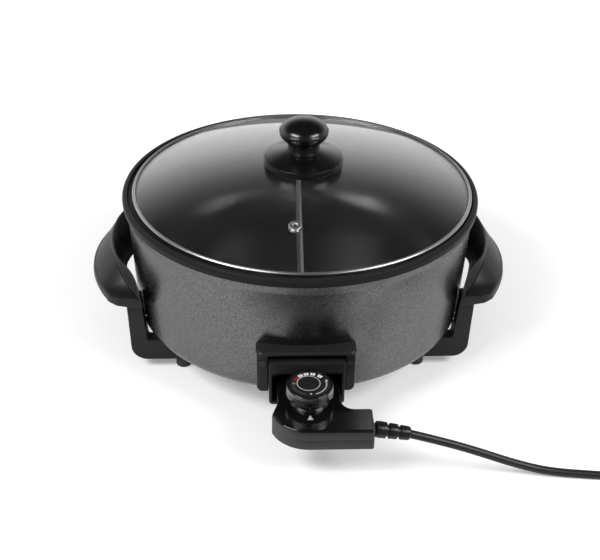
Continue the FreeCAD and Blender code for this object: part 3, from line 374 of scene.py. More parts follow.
def grainMaterial(name, tone, roughness, grain=900.0, depth=0.05, size=0.0004, smears=0.08,
                  tint=(1.0, 1.0, 1.0), speckle=0.25, metallic=0.0, **sockets):
    # Painted or moulded finish: tone and roughness drift with speckle and smears, and grain lifts the normal
    plain = {"Metallic": metallic, **{key.replace("_", " "): value for key, value in sockets.items()}}
    made, tree, shader = startMaterial(name, plain)
    grainNode = useGroup(tree, "mouldedGrain", **{"Grain Scale": grain})
    handled = useGroup(tree, "handling")
    colour = mixed(tree, grainNode.outputs["Speckle"], grey(tone * (1 - speckle), tint),
                   grey(tone * (1 + speckle), tint))
    cloudy = mixed(tree, varied(tree, grainNode.outputs["Patches"], 0.0, 0.5), colour,
                   grey(tone * 1.15, tint))
    tree.links.new(cloudy, shader.inputs["Base Color"])
    tree.links.new(varied(tree, handled.outputs["Smears"], roughness, roughness + smears),
                   shader.inputs["Roughness"])
    bumped(tree, shader, grainNode.outputs["Height"], depth, size)
    return made


def makeHammeredEnamel():
    look = {"dark": 0.088, "light": 0.2, "roughness": 0.25, "cells": 780.0, "depth": 0.12, "size": 0.0002}
    made, tree, shader = startMaterial("hammeredEnamel", {"Metallic": 1.0, "Specular IOR Level": 0.5})
    metal = useGroup(tree, "hammeredSkin", **{"Cell Scale": look["cells"]})
    handled = useGroup(tree, "handling")
    flecked = mixed(tree, metal.outputs["Flakes"], grey(look["dark"]), grey(look["light"]))
    drifted = mixed(tree, varied(tree, metal.outputs["Drift"], 0.0, 0.35), flecked, grey(look["light"] * 0.8))
    tree.links.new(drifted, shader.inputs["Base Color"])
    tree.links.new(varied(tree, handled.outputs["Smears"], look["roughness"], look["roughness"] + 0.05),
                   shader.inputs["Roughness"])
    bumped(tree, shader, metal.outputs["Height"], look["depth"], look["size"])
    return made


def makeGlass():
    made, tree, shader = startMaterial("temperedGlass", {"Base Color": (0.93, 0.95, 0.94, 1.0),
                                                         "Metallic": 0.0, "IOR": 1.5,
                                                         "Transmission Weight": 1.0})
    handled = useGroup(tree, "handling", **{"Smear Scale": 14.0})
    tree.links.new(varied(tree, handled.outputs["Smears"], 0.0, 0.025), shader.inputs["Roughness"])
    # Light that falls through the glass and spreads is let through plainly
    ray = put(tree, "LightPath")
    let = math2(tree, "MAXIMUM", ray.outputs["Is Shadow Ray"], ray.outputs["Is Diffuse Ray"])
    clear = put(tree, "BsdfTransparent", {"Color": grey(0.86)})
    both = put(tree, "MixShader", {0: let, 1: shader.outputs[0], 2: clear.outputs[0]})
    tree.links.new(both.outputs[0], nodeOf(tree, "OUTPUT_MATERIAL").inputs["Surface"])
    return made


def makeSpunSteel(name, tone, roughness):
    # Polished steel with fine lines round the lid's axis
    made, tree, shader = startMaterial(name, {"Base Color": grey(tone), "Metallic": 1.0})
    spun = useGroup(tree, "spunLines", **{"Axis X": lidX / 1000, "Axis Y": panShift / 1000})
    handled = useGroup(tree, "handling")
    tree.links.new(varied(tree, handled.outputs["Smears"], roughness, roughness + 0.1),
                   shader.inputs["Roughness"])
    lined = mixed(tree, spun.outputs["Height"], grey(tone * 0.85), grey(tone))
    tree.links.new(lined, shader.inputs["Base Color"])
    bumped(tree, shader, spun.outputs["Height"], 0.12, 0.0001)
    return made


def maskByHeight(tree, low, high, below, above):
    # A value that goes from one level to another between two heights in metres
    height = put(tree, "SeparateXYZ", {0: put(tree, "TexCoord").outputs["Object"]}).outputs["Z"]
    return ramp(tree, height, low, high, below, above, smooth=False)


rimHeight = 0.1655       # metres, where the pan's rim starts
topHeight = 0.0610       # and where the controller's rounded top edge does


def makePanCoating():
    # The rim is drier and duller than the bowl
    made = grainMaterial("panCoating", 0.012, 0.34, grain=1500.0, depth=0.16, size=0.0002)
    tree = made.node_tree
    shine = maskByHeight(tree, rimHeight, rimHeight + 0.0007, 0.9, 0.08)
    tree.links.new(shine, nodeOf(tree, "BSDF_PRINCIPLED").inputs["Specular IOR Level"])
    return made


def makeHousingFinish():
    # Fine-grained walls under a polished top: the grain ends and the roughness falls at the top's edge
    made = grainMaterial("housingFinish", 0.014, 0.4, grain=900.0, depth=0.1, size=0.0003)
    tree = made.node_tree
    shader = nodeOf(tree, "BSDF_PRINCIPLED")

    def byHeight(below, above):
        return maskByHeight(tree, topHeight, topHeight + 0.0003, below, above)

    plain = shader.inputs["Roughness"].links[0].from_socket
    tree.links.new(math2(tree, "MULTIPLY", plain, byHeight(1.0, 0.22)), shader.inputs["Roughness"])
    tree.links.new(byHeight(0.1, 0.01), nodeOf(tree, "BUMP").inputs["Strength"])
    colour = shader.inputs["Base Color"].links[0].from_socket
    tree.links.new(mixed(tree, byHeight(0.0, 1.0), colour, grey(0.004)), shader.inputs["Base Color"])
    return made


# A tone is the level that the finish shows in plain light
panCoating = makePanCoating()
housingFinish = makeHousingFinish()
blackMoulding = grainMaterial("blackMoulding", 0.011, 0.36, grain=1100.0, depth=0.2, size=0.0003,
                              Specular_IOR_Level=0.26)
glossMoulding = grainMaterial("glossMoulding", 0.003, 0.2, grain=500.0, depth=0.012, size=0.0004, smears=0.05)
controllerPlastic = grainMaterial("controllerPlastic", 0.006, 0.3, grain=700.0, depth=0.06, size=0.0003,
                                  Specular_IOR_Level=0.36)
dialPlastic = grainMaterial("dialPlastic", 0.004, 0.16, grain=900.0, depth=0.02, size=0.0003,
                            Specular_IOR_Level=0.9, Coat_Weight=1.0, Coat_Roughness=0.14)
blackRubber = grainMaterial("blackRubber", 0.020, 0.62, grain=1300.0, depth=0.25, size=0.0003)
cordRubber = grainMaterial("cordRubber", 0.006, 0.38, grain=1600.0, depth=0.12, size=0.0002,
                           Specular_IOR_Level=0.4)
dividerCoating = grainMaterial("dividerCoating", 0.14, 0.36, grain=1500.0, depth=0.12, size=0.0002)
galvanisedSheet = grainMaterial("galvanisedSheet", 0.55, 0.38, grain=160.0, depth=0.05, metallic=1.0,
                                speckle=0.12)
castAluminium = grainMaterial("castAluminium", 0.68, 0.42, grain=500.0, depth=0.2, metallic=1.0, speckle=0.1)
elementSheath = grainMaterial("elementSheath", 0.12, 0.5, grain=900.0, depth=0.2, metallic=0.6,
                              tint=(1.0, 0.95, 0.9))
steelTrim = grainMaterial("steelTrim", 0.55, 0.28, grain=1200.0, depth=0.04, metallic=1.0, speckle=0.08)
blackScrew = grainMaterial("blackScrew", 0.02, 0.35, grain=1200.0, depth=0.06, metallic=0.3, speckle=0.2)
platedPin = grainMaterial("platedPin", 0.72, 0.2, grain=1500.0, depth=0.03, metallic=1.0, speckle=0.06)
brassContact = grainMaterial("brassContact", 0.62, 0.25, grain=1500.0, depth=0.04, metallic=1.0,
                             tint=(1.0, 0.8, 0.42))
ceramic = grainMaterial("ceramic", 0.78, 0.3, grain=900.0, depth=0.1, tint=(1.0, 0.98, 0.93), speckle=0.04)
switchPlastic = grainMaterial("switchPlastic", 0.25, 0.45, grain=900.0, depth=0.1, tint=(0.75, 0.42, 0.25))
scaleWhite = grainMaterial("scaleWhite", 0.62, 0.4, grain=1400.0, depth=0.05, speckle=0.08)
scaleGrey = grainMaterial("scaleGrey", 0.34, 0.4, grain=1400.0, depth=0.05, speckle=0.08)
scaleRed = grainMaterial("scaleRed", 0.22, 0.4, grain=1400.0, depth=0.05, tint=(1.0, 0.04, 0.09),
                         speckle=0.08)
scaleGreen = grainMaterial("scaleGreen", 0.12, 0.4, grain=1400.0, depth=0.05, tint=(0.75, 1.0, 0.85),
                           speckle=0.08)
hammeredEnamel = makeHammeredEnamel()
temperedGlass = makeGlass()
lidX = 1.8               # the lid rests a little to the right in its seat
polishedSteel = makeSpunSteel("polishedSteel", 0.42, 0.3)
ventSteel = makeSpunSteel("ventSteel", 0.6, 0.3)
print("materials made:", len(bpy.data.materials))

view = {"place": (-0.0434, -0.91975, 0.67357), "yaw": 2.685, "pitch": 32.706, "roll": 1.038, "lens": 63.26}


def makeCamera():
    # The camera looks along +Y turned by its yaw towards +X and down by its pitch, and rolls about that line
    yaw, pitch, roll = (math.radians(view[key]) for key in ("yaw", "pitch", "roll"))
    ahead = Vector((math.sin(yaw) * math.cos(pitch), math.cos(yaw) * math.cos(pitch), -math.sin(pitch)))
    right = Vector((math.cos(yaw), -math.sin(yaw), 0))
    up = right.cross(ahead)
    across = math.cos(roll) * right + math.sin(roll) * up
    over = math.cos(roll) * up - math.sin(roll) * right
    data = bpy.data.cameras.new("camera")
    data.lens, data.sensor_width, data.clip_start, data.clip_end = view["lens"], 36.0, 0.01, 30.0
    camera = addObject("camera", data)
    camera.matrix_world = Matrix((across, over, -ahead)).transposed().to_4x4()
    camera.location = view["place"]
    bpy.context.scene.camera = camera


makeCamera()

cord = {"diameter": 7.8, "rest": 3.95, "coilX": 342.0, "coilY": -212.5, "coilRadius": 37.0, "turns": 4,
        "pointsPerTurn": 14, "length": 1.28}


def cordPoints():
    # The lead's points are listed up to the coil. The coil's points go round at an even step: two turns side
    # by side on the table, two on top of them, and a last part turn that lies over both and ends at the tail.
    rest = cord["rest"]
    lead = [(90.29, -236.5, 46.42), (124.0, -236.9, 36.2), (156.0, -238.2, 25.0), (190.0, -240.6, 12.4),
            (222.0, -243.6, 4.55), (256.0, -247.6, rest), (292.0, -251.2, rest), (322.0, -249.9, rest)]
    half = cord["diameter"] / 2
    count = cord["turns"] * cord["pointsPerTurn"] + 4
    turn = np.arange(count) / cord["pointsPerTurn"]
    angle = np.radians(-92.0) + 2 * np.pi * turn
    outer, inner = cord["coilRadius"] + half, cord["coilRadius"] - half
    radius = np.interp(turn, [0, 0.8, 1.1, 2.9, 3.2, 4.0, 4.3],
                       [outer, outer, inner, inner, outer, outer, inner + 3])
    height = np.interp(turn, [0, 1.9, 2.2, 3.95, 4.25], [rest, rest, 11.8, 11.8, 18.8])
    coil = np.stack([cord["coilX"] + radius * np.cos(angle), cord["coilY"] + radius * np.sin(angle), height],
                    1)
    tail = [(377.5, -204.5, 19.0), (377.6, -183.5, 19.0), (375.4, -164.5, 18.7), (372.4, -149.5, 18.2)]
    return np.vstack([lead, coil, tail])


def makeCord(stands):
    curve = bpy.data.curves.new("powerCord", "CURVE")
    curve.dimensions = "3D"
    curve.bevel_depth = cord["diameter"] / 2000
    curve.bevel_resolution, curve.resolution_u, curve.use_fill_caps = 5, 8, True
    points = toMetres(cordPoints())
    spline = curve.splines.new("NURBS")
    spline.points.add(len(points) - 1)
    spline.points.foreach_set("co", np.column_stack([points, np.ones(len(points))]).ravel())
    spline.order_u = 3
    spline.use_endpoint_u = True
    piece = addObject("powerCord", curve)
    curve.materials.append(cordRubber)
    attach(piece, "controller")
    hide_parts(*stands)
    return piece


relief = {"start": (60.2, -236.5, 52.0), "droop": 10.5}


def makeStrainRelief():
    # Three broad ribs that taper, with narrow waists between them, along an axis that droops with the cord
    line = [(0, -7.7), (5.2, -7.7), (5.2, -1.7), (7.4, -1.7), (7.4, 0.6), (7.7, 0.9), (7.4, 8.0), (5.4, 8.8),
            (5.3, 10.2), (7.2, 11.2), (6.9, 18.2), (5.1, 19.0), (5.0, 20.4), (6.7, 21.4), (6.3, 29.2),
            (5.0, 30.6), (0, 30.6)]
    radii = [0.2, 0.2, 0.4, 0.2, 0.7, 0.8, 0.2, 0.2, 0.8, 0.8, 0.2, 0.2, 0.8, 0.9, 0.5]
    droop = math.radians(relief["droop"])
    x, y, z = relief["start"]
    shell = turned(roundCorners(line, radii, 5, closed=False), 48)
    shell = tilted(shell, (x + 1.7, y, z), (math.cos(droop), 0, -math.sin(droop)))
    return makePiece("strainRelief", [shell], controllerPlastic, "controller",
                     ["strain_relief"])


plug = {"pinInset": 37.0, "pinOut": 27.0, "pinRadius": 2.4, "pinOffset": 9.5}


def makePlug():
    # A round two-pin plug along the way that the tail ends, with a grip dip round its sleeve
    tail = cordPoints()[-2:]
    flat = unit((tail[1] - tail[0]) * (1, 1, 0))
    line = [(0, 0.0), (4.2, 0.0), (4.6, 3.0), (5.6, 15.0), (9.4, 18.0), (14.6, 25.0), (18.0, 31.0),
            (18.0, 44.6), (16.2, 45.0), (15.4, 44.2), (0, 44.2)]
    shell = turned(roundCorners(line, [0.6, 1, 3, 3, 6, 4, 1.2, 0.6, 0.4], 6, closed=False), 72)
    origin = tail[1]
    body = makePiece("plugBody", [tilted(shell, origin, flat)], controllerPlastic, "controller",
                     ["plug"])
    across = np.array([-flat[1], flat[0], 0])
    radius, out = plug["pinRadius"], plug["pinOut"]
    pinLine = roundCorners([(0, 0), (radius, 0), (radius, out), (0, out)], [0.1, 1.3], 6, closed=False)
    start = origin + flat * plug["pinInset"]
    pins = [tilted(turned(pinLine, 32), start + across * side * plug["pinOffset"], flat) for side in (-1, 1)]
    pinPiece = makePiece("plugPins", pins, platedPin, "controller", ["plug_pins"])
    return body, pinPiece


reliefPiece = makeStrainRelief()
plugBody, plugPins = makePlug()
makeCord(["cord_lead", "cord_coil", "cord_tail"])
print("camera, cord and plug made")

pan = {"rimUnder": 165.6, "floorCorner": 45.0, "sheet": 3.0, "segments": 288}
casing = {"top": 176.0, "flare": 177.2, "bottom": 171.0, "low": 38.0, "corner": 16.0, "sheet": 1.2,
          "flange": 148.0}


def wallRadius(height, out=0.0):
    # The casing's wall widens evenly from the top of its rounded corner to the rim
    slope = (casing["top"] - casing["bottom"]) / (pan["rimUnder"] - casing["low"] - casing["corner"])
    return casing["bottom"] + out + slope * (height - casing["low"] - casing["corner"])


def makePan():
    # Bowl with a rounded corner, a ledge for the lid and a rolled rim
    under, corner, sheet = pan["rimUnder"], pan["floorCorner"], pan["sheet"]
    line = [(0, 64.0), (162.8, 64.0), (168.0, 170.0), (174.4, 170.0), (175.0, 174.2), (178.7, 174.0),
            (180.0, 171.4), (179.7, under), (170.5, under), (165.0, 64.0 - sheet), (0, 64.0 - sheet)]
    radii = [corner, 1.2, 0.9, 1.1, 1.5, 2.4, 1.0, 0.6, corner + sheet]
    shell = turned(roundCorners(line, radii, 15, closed=False), pan["segments"])
    return makePiece("cookingPan", [shell], panCoating, "skillet", ["cooking_pan"])


shroud = {"x": 0.9, "half": 35.3, "wall": 3.0, "bottom": 41.0, "top": 88.8, "lintel": 12.4, "front": -187.0,
          "waist": -169.6, "back": -160.0, "step": 67.0}


def box2(left, right, low, high):
    return [(left, low), (right, low), (right, high), (left, high)]


def makeCasing():
    c = casing
    high = pan["rimUnder"]
    line = [(c["flare"], high), (wallRadius(157.0), 157.0), (wallRadius(c["low"]), c["low"]),
            (c["flange"], c["low"]), (c["flange"], c["low"] + c["sheet"]),
            (wallRadius(c["low"]) - c["sheet"], c["low"] + c["sheet"]), (c["top"] - c["sheet"], high)]
    outline = roundCorners(line, [0.1, 30.0, 16.0, 0.3, 0.3, 14.8, 0.1], 11)
    left, right = shroud["x"] - shroud["half"] - 0.1, shroud["x"] + shroud["half"] + 0.1
    flat = softEdges(-200.0, -130.0, 0, 0, 2)
    windows = [slab(box2(left, right, shroud["bottom"] - 0.1, shroud["step"] + 0.1), [4, 4, 0, 0], flat,
                    stand="y")]
    return makePiece("outerCasing", [turned(outline, pan["segments"], closed=True)], hammeredEnamel,
                     "skillet", ["outer_casing"], cutters=windows)


divider = {"low": 161.4, "high": 166.2, "bottom": 64.4, "top": 158.0, "half": 1.3, "turn": -1.2}


def makeDivider():
    # A plate whose sides run beside the bowl's wall, with its two lower corners rounded like the bowl's
    d = divider
    outline = [(-d["low"], d["bottom"]), (d["low"], d["bottom"]), (d["high"], d["top"]),
               (-d["high"], d["top"])]
    plate = slab(outline, [47, 47, 5, 5], softEdges(-d["half"], d["half"], 0.7, 0.7), 14, stand="x")
    return makePiece("dividerPlate", [moved(plate, turn=math.radians(d["turn"]))], dividerCoating, "divider",
                     ["divider"])


makePan()
makeCasing()
makeDivider()
print("pan, casing and divider made")

lid = {"edge": 174.6, "crown": 199.6, "thick": 4.0, "radius": 169.0, "ringInner": 168.6, "ringOuter": 171.8,
       "lip": 168.4, "seat": 170.3, "ventRadius": 110.0, "ventAngle": 264.3}
lidSphere = (lid["radius"] ** 2 + (lid["crown"] - lid["edge"]) ** 2) / (2 * (lid["crown"] - lid["edge"]))


def glassHeight(radius, drop=0.0):
    # The dome is part of a sphere: its height over the centre is the root of R squared less r squared
    return lid["crown"] - lidSphere + np.sqrt((lidSphere - drop) ** 2 - np.asarray(radius, float) ** 2)


def ventFrame():
    angle = math.radians(lid["ventAngle"])
    r = lid["ventRadius"]
    point = np.array([r * math.cos(angle), r * math.sin(angle), float(glassHeight(r))])
    normal = unit(point - (0, 0, lid["crown"] - lidSphere))
    return point + (lidX, 0, 0), normal


def makeLid():
    out = np.linspace(4.0, lid["radius"] - 0.5, 56)
    upper = np.stack([out, glassHeight(out)], 1)
    lower = np.stack([out, glassHeight(out, lid["thick"])], 1)[::-1]
    edge = [(lid["radius"], glassHeight(lid["radius"]) - 0.6),
            (lid["radius"], glassHeight(lid["radius"], lid["thick"]) + 0.6)]
    point, normal = ventFrame()
    hole = tilted(turned([(0, -10), (4.6, -10), (4.6, 10), (0, 10)], 32), point, normal)
    glass = turned(np.vstack([upper, edge, lower]), 256, (lidX, 0), closed=True)
    makePiece("glassDome", [glass], temperedGlass, "lid", ["lid_glass"], [hole])

    inner, outer, lip, seat = lid["ringInner"], lid["ringOuter"], lid["lip"], lid["seat"]
    rest = 0.04
    ring = [(outer - 0.2, seat), (outer, seat + 1.0), (outer, 175.2), (outer - 1.2, 176.3),
            (inner + 1.0, 176.3), (inner, 175.7), (inner, glassHeight(inner) + rest),
            (lid["radius"] + rest, glassHeight(lid["radius"]) + rest),
            (lid["radius"] + rest, glassHeight(lid["radius"], lid["thick"]) - rest),
            (lip, glassHeight(lip, lid["thick"]) - rest), (lip, seat)]
    radii = [0.3, 0.6, 1.1, 0.9, 0.8, 0.3, 0.05, 0.05, 0.05, 0.05, 0.3]
    makePiece("lidRing", [turned(roundCorners(ring, radii, 6), 256, (lidX, 0), closed=True)], polishedSteel,
              "lid", ["lid_ring"])

    eyelet = [(2.0, -5.0), (6.4, -5.0), (6.4, -4.05), (4.5, -4.05), (4.5, 0.05), (6.4, 0.05), (5.8, 1.1),
              (3.2, 1.4), (2.0, 0.7)]
    radii = [0.2, 0.4, 0.2, 0.1, 0.1, 0.2, 0.5, 0.5, 0.3]
    makePiece("ventEyelet", [tilted(turned(roundCorners(eyelet, radii, 5), 48, closed=True), point, normal)],
              ventSteel, "lid", ["vent_grommet"])


knob = {"x": 2.5, "bottom": 199.8, "flange": 40.0, "side": 7.8, "cone": 14.4, "neck": 16.0, "cap": 24.6,
        "equator": 234.2, "crown": 247.6}


def makeKnob():
    k = knob
    low = k["bottom"]
    seal = [(4.2, 199.8), (30.0, 199.8), (30.0, glassHeight(30.0) + 0.03), (4.2, glassHeight(4.2) + 0.03)]
    makePiece("knobSeal", [turned(roundCorners(seal, [0.05, 0.2, 0.05, 0.05], 4), 96, (k["x"], 0),
                                  closed=True)], blackRubber, "lid", ["knob_seal"])
    flange = [(0, low), (38.4, low), (40.0, low + 1.4), (k["flange"], low + k["side"] - 0.5),
              (39.3, low + k["side"]), (17.4, low + k["cone"] - 0.1), (17.2, low + k["cone"]),
              (0, low + k["cone"])]
    makePiece("knobFlange", [turned(roundCorners(flange, [1.0, 1.0, 0.4, 0.4, 0.3, 0.1], 7, closed=False),
                                    160, (k["x"], 0))], glossMoulding, "lid",
              ["knob_flange"])
    # The cap is half an ellipse over its widest line, above a bowl and a straight neck with a small seam
    arc = np.linspace(0.15, np.pi / 2, 22)[:-1]
    dome = np.stack([k["cap"] * np.cos(arc), k["equator"] + (k["crown"] - k["equator"]) * np.sin(arc)], 1)
    seat, rest = low + k["cone"], k["equator"]
    stem = roundCorners([(0, seat), (k["neck"] + 0.8, seat), (k["neck"] + 0.8, seat + 0.7),
                         (k["neck"], seat + 0.9), (k["neck"], seat + 8.6), (20.0, rest - 8.0),
                         (24.0, rest - 3.8), (k["cap"] - 0.05, rest), (k["cap"] - 0.1, rest + 1.4),
                         (k["cap"] + 0.02, rest + 1.5), (k["cap"] + 0.02, rest + 1.7)],
                        [0.2, 0.35, 0.25, 3.0, 12.0, 9.0, 1.0, 0.05, 0.05], 7, closed=False)
    line = np.vstack([stem, dome, [(0, k["crown"])]])
    makePiece("knobCap", [turned(line, 144, (k["x"] + 0.2, 0))], glossMoulding, "lid",
              ["knob_cap"])


makeLid()
makeKnob()
print("lid and knob made")

# Stations along half a grip: distance from its middle, crest x and z, groove edge x and z
grip = {"stations": [(0, 191.8, 123.0, 196.6, 119.4), (16, 191.0, 122.9, 195.4, 119.0),
                     (24, 190.1, 122.8, 194.2, 118.6), (32, 188.7, 122.6, 192.2, 118.0),
                     (40, 186.6, 122.2, 189.4, 116.8), (48, 183.8, 121.2, 186.6, 114.0),
                     (55, 179.1, 118.6, 184.0, 110.6), (60, 174.6, 116.0, 181.4, 107.2),
                     (65, 169.9, 112.6, 177.8, 103.4), (70, 165.9, 107.6, 173.7, 99.4),
                     (75, 163.0, 101.0, 169.3, 96.3), (81, 160.3, 95.6, 166.0, 94.9),
                     (86.6, 159.0, 94.6, 164.0, 94.6)], "reach": 216.0, "edgeTop": 94.0, "edgeThick": 8.5,
        "bottom": 82.0, "sag": 3.2, "crest": 2.2}


def gripShell():
    # Sections from the back to the front: a broad shelf with a rounded edge and a crest on its inner side,
    # which sweeps in and down at both ends beside a scooped valley. Each corner is rounded; the last
    # sections shrink towards their middle, so that the ends are round too.
    g = grip
    half = np.array(g["stations"], float)
    knots = np.concatenate([-half[:0:-1, 0], half[:, 0]])
    values = np.vstack([half[:0:-1, 1:], half[:, 1:]])
    end = half[-1, 0]
    along = end * np.sin(np.linspace(-np.pi / 2, np.pi / 2, 97))
    crestX, crestZ, grooveX, grooveZ = smoothThrough(along, knots, values).T
    u = np.abs(along)
    edgeX = g["reach"] - 0.00372 * u**2 - 0.26 * np.maximum(0, u - 79) ** 1.4
    innerX = 182.0 - 0.31 * (np.sqrt(u**2 + 64) - 8)
    innerZ = g["bottom"] - g["sag"] * np.maximum(0, 1 - (u / 75) ** 2)
    ridgeX = crestX + g["crest"] * (1 - u / 200)
    scoop = np.clip((u - 36) / 20, 0, 1)
    valleyX = grooveX - 0.35 * (grooveX - ridgeX)
    valleyZ = grooveZ + 0.35 * (crestZ - grooveZ) * (1 - scoop) - 1.4 * scoop
    flat = 0 * u
    corners = np.stack([
        np.stack([edgeX - 1.0, flat + g["edgeTop"] - 0.6], 1),
        np.stack([edgeX + 0.1, flat + g["edgeTop"] - 7.2], 1),
        np.stack([edgeX - 1.8, flat + g["edgeTop"] - g["edgeThick"]], 1),
        np.stack([innerX + 3.0, innerZ], 1),
        np.stack([innerX, innerZ + 1.6], 1),
        np.stack([crestX, crestZ - 0.2], 1),
        np.stack([crestX + 0.2, crestZ + 0.1], 1),
        np.stack([ridgeX, crestZ + 0.25], 1),
        np.stack([valleyX, valleyZ], 1),
        np.stack([grooveX, grooveZ], 1),
        np.stack([edgeX - 2.9, flat + g["edgeTop"] + 0.3], 1)], 1)
    radii = np.array([1.2, 1.4, 1.0, 1.6, 1.0, 0.6, 0.6, 1.0, 3.0, 1.4, 1.6])
    # A radius may take no more than 0.45 of its shorter side
    side = np.linalg.norm(np.roll(corners, -1, 1) - corners, axis=2)
    short = np.minimum(side, np.roll(side, 1, 1))
    before, after = unit(np.roll(corners, 1, 1) - corners), unit(np.roll(corners, -1, 1) - corners)
    half = np.arccos(np.clip((before * after).sum(2), -0.9999, 0.9999)) / 2
    radii = np.minimum(radii, 0.45 * short * np.tan(half))
    sections = roundCorners(corners, radii, 5)
    rows = np.stack([sections[..., 0], along[:, None] + 0 * sections[..., 0], sections[..., 1]], -1)
    # The end sections draw in over the last 1.6 mm like a quarter circle
    close = np.clip((end - u) / 1.6, 0, 1)
    draw = (1.1 * (1 - np.sqrt(1 - (1 - close) ** 2)))[:, None]
    middle = rows.mean(1, keepdims=True)
    away = rows - middle
    length = np.linalg.norm(away, axis=2)
    rows = middle + away * (np.maximum(length - draw, 0.3) / length)[..., None]
    return skin(rows)


def makeGrips():
    shell = gripShell()
    makePiece("rightGrip", [shell], blackMoulding, "skillet", ["right_grip"])
    makePiece("leftGrip", [moved(shell, mirror=(-1, 1, 1))], blackMoulding, "skillet",
              ["left_grip"])


leg = {"front": -75.0, "back": -59.5, "clear": 0.4, "footX": 122.0, "screwX": 101.0, "gripScrewX": 169.0,
       "corners": {("rightFrontLeg", "right_front_leg"): (1, 1), ("rightRearLeg", "right_rear_leg"): (1, -1),
                   ("leftFrontLeg", "left_front_leg"): (-1, 1), ("leftRearLeg", "left_rear_leg"): (-1, -1)}}


def rod(radius, low, high, x, y, segments=40):
    return turned([(0, low), (radius, low), (radius, high), (0, high)], segments, (x, y))


def makeLegs():
    # The upright bends into a low arm that runs in under the pan to the rubber foot and its screw pad
    outline = [(161, 87), (157, 35), (112, 35), (112, 39.2), (90, 39.2), (90, 11), (174, 11), (176, 87)]
    radii = [0.6, 2.5, 1.0, 0.8, 1.0, 3.0, 16.0, 0.6]
    edge = softEdges(leg["front"], leg["back"], 1.1, 1.1)
    shell = slab(outline, radii, edge, 8, stand="y")
    clear = leg["clear"]
    low = casing["low"] - clear
    around = roundCorners([(148 - clear, low), (wallRadius(low, clear), low), (wallRadius(130, clear), 130),
                           (148 - clear, 130)], [0.1, 16.4, 0.1, 0.1], 11)
    middle = (leg["front"] + leg["back"]) / 2
    tools = [turned(around, pan["segments"], closed=True), rod(4.0, 5, 17, leg["footX"], middle),
             rod(5.2, 5, 17, leg["screwX"], middle), rod(2.6, 16, 45, leg["screwX"], middle),
             rod(3.4, 5, 68, leg["gripScrewX"], middle)]
    for (name, node), (sideX, sideY) in leg["corners"].items():
        sign = (sideX, sideY, 1)
        makePiece(name, [moved(shell, mirror=sign)], blackMoulding, "skillet", [node],
                  [moved(tool, mirror=sign) for tool in tools])
    pad = roundCorners([(0, 0), (8.0, 0), (7.6, 11.0), (4.0, 11.0), (4.0, 17.0), (0, 17.0)],
                       [1.6, 0.3, 0.1, 0.2], 6, closed=False)
    feet = [turned(pad, 48, (sideX * leg["footX"], sideY * middle)) for sideX in (1, -1) for sideY in (1, -1)]
    makePiece("rubberFeet", feet, blackRubber, "skillet", ["rubber_feet"])


makeGrips()
makeLegs()
print("grips, legs and feet made")

bracket = {"x": 0.1, "half": 46.5, "front": -185.0, "top": 99.0, "hood": 95.0, "cheekFront": -180.0,
           "cheekLow": 51.0, "inset": 0.8}


def makeSocket():
    s, b = shroud, bracket
    left, right = s["x"] - s["half"], s["x"] + s["half"]
    # Mouth in front and lower box behind, each a rounded frame that is hollowed out
    mouth = slab(box2(left, right, s["bottom"], s["top"]), [4, 4, 0.8, 0.8],
                 softEdges(s["front"], s["waist"], 0.9, 0.1), stand="y")
    rear = slab(box2(left, right, s["bottom"], s["step"]), [4, 4, 0.4, 0.4],
                softEdges(s["waist"] - 0.02, s["back"], 0.02, 0.3), stand="y")
    wall = s["wall"]
    flare = np.array([(0.0, s["front"] - 3), (0.0, s["front"] - 0.1), (0.7, s["front"] + 0.7),
                      (0.7, s["waist"] - wall)])
    inside = box2(left + wall - 0.7, right - wall + 0.7, s["bottom"] + wall - 0.7,
                  s["top"] - s["lintel"] + 0.7)
    deep = box2(left + wall, right - wall, s["bottom"] + wall, s["step"] - wall)
    tools = [slab(inside, [1.5, 1.5, 1.5, 1.5], flare, stand="y"),
             slab(deep, [0.8] * 4, softEdges(s["waist"] - wall - 0.5, s["back"] - wall, 0, 0, 2), stand="y")]
    makePiece("socketShroud", [mouth, rear], blackMoulding, "skillet", ["socket_shroud"],
              tools)

    hoodLine = [(b["x"] - b["half"], -150), (b["x"] - b["half"], b["front"]),
                (b["x"] + b["half"], b["front"]), (b["x"] + b["half"], -150)]
    hood = slab(hoodLine, [0.5, 7.0, 7.0, 0.5], softEdges(b["hood"], b["top"], 1.3, 2.5), 9)
    parts = [hood]
    for side in (-1, 1):
        inner = s["x"] + side * (s["half"] + 0.3)
        outer = b["x"] + side * (b["half"] - b["inset"])
        line = [(min(inner, outer), b["cheekLow"]), (max(inner, outer), b["cheekLow"]),
                (max(inner, outer), b["hood"] + 0.4), (min(inner, outer), b["hood"] + 0.4)]
        radii = [1.5, 6.0, 0.2, 0.2] if side > 0 else [6.0, 1.5, 0.2, 0.2]
        parts.append(slab(line, radii, softEdges(b["cheekFront"], -150, 1.2, 0), stand="y"))
    cone = turned([(0, 40), (wallRadius(40), 40), (wallRadius(120), 120), (0, 120)], pan["segments"])
    makePiece("socketBracket", parts, blackMoulding, "skillet", ["socket_bracket"], [cone])


makeSocket()
print("socket made")

body = {"x": 2.2, "top": 63.0, "low": 41.5, "part": 52.0, "front": -251.5, "half": 29.0, "noseBack": -167.0,
        "noseFront": -193.0, "noseLow": 44.6, "armRear": -220.4, "reach": 56.3, "dialY": -208.9}


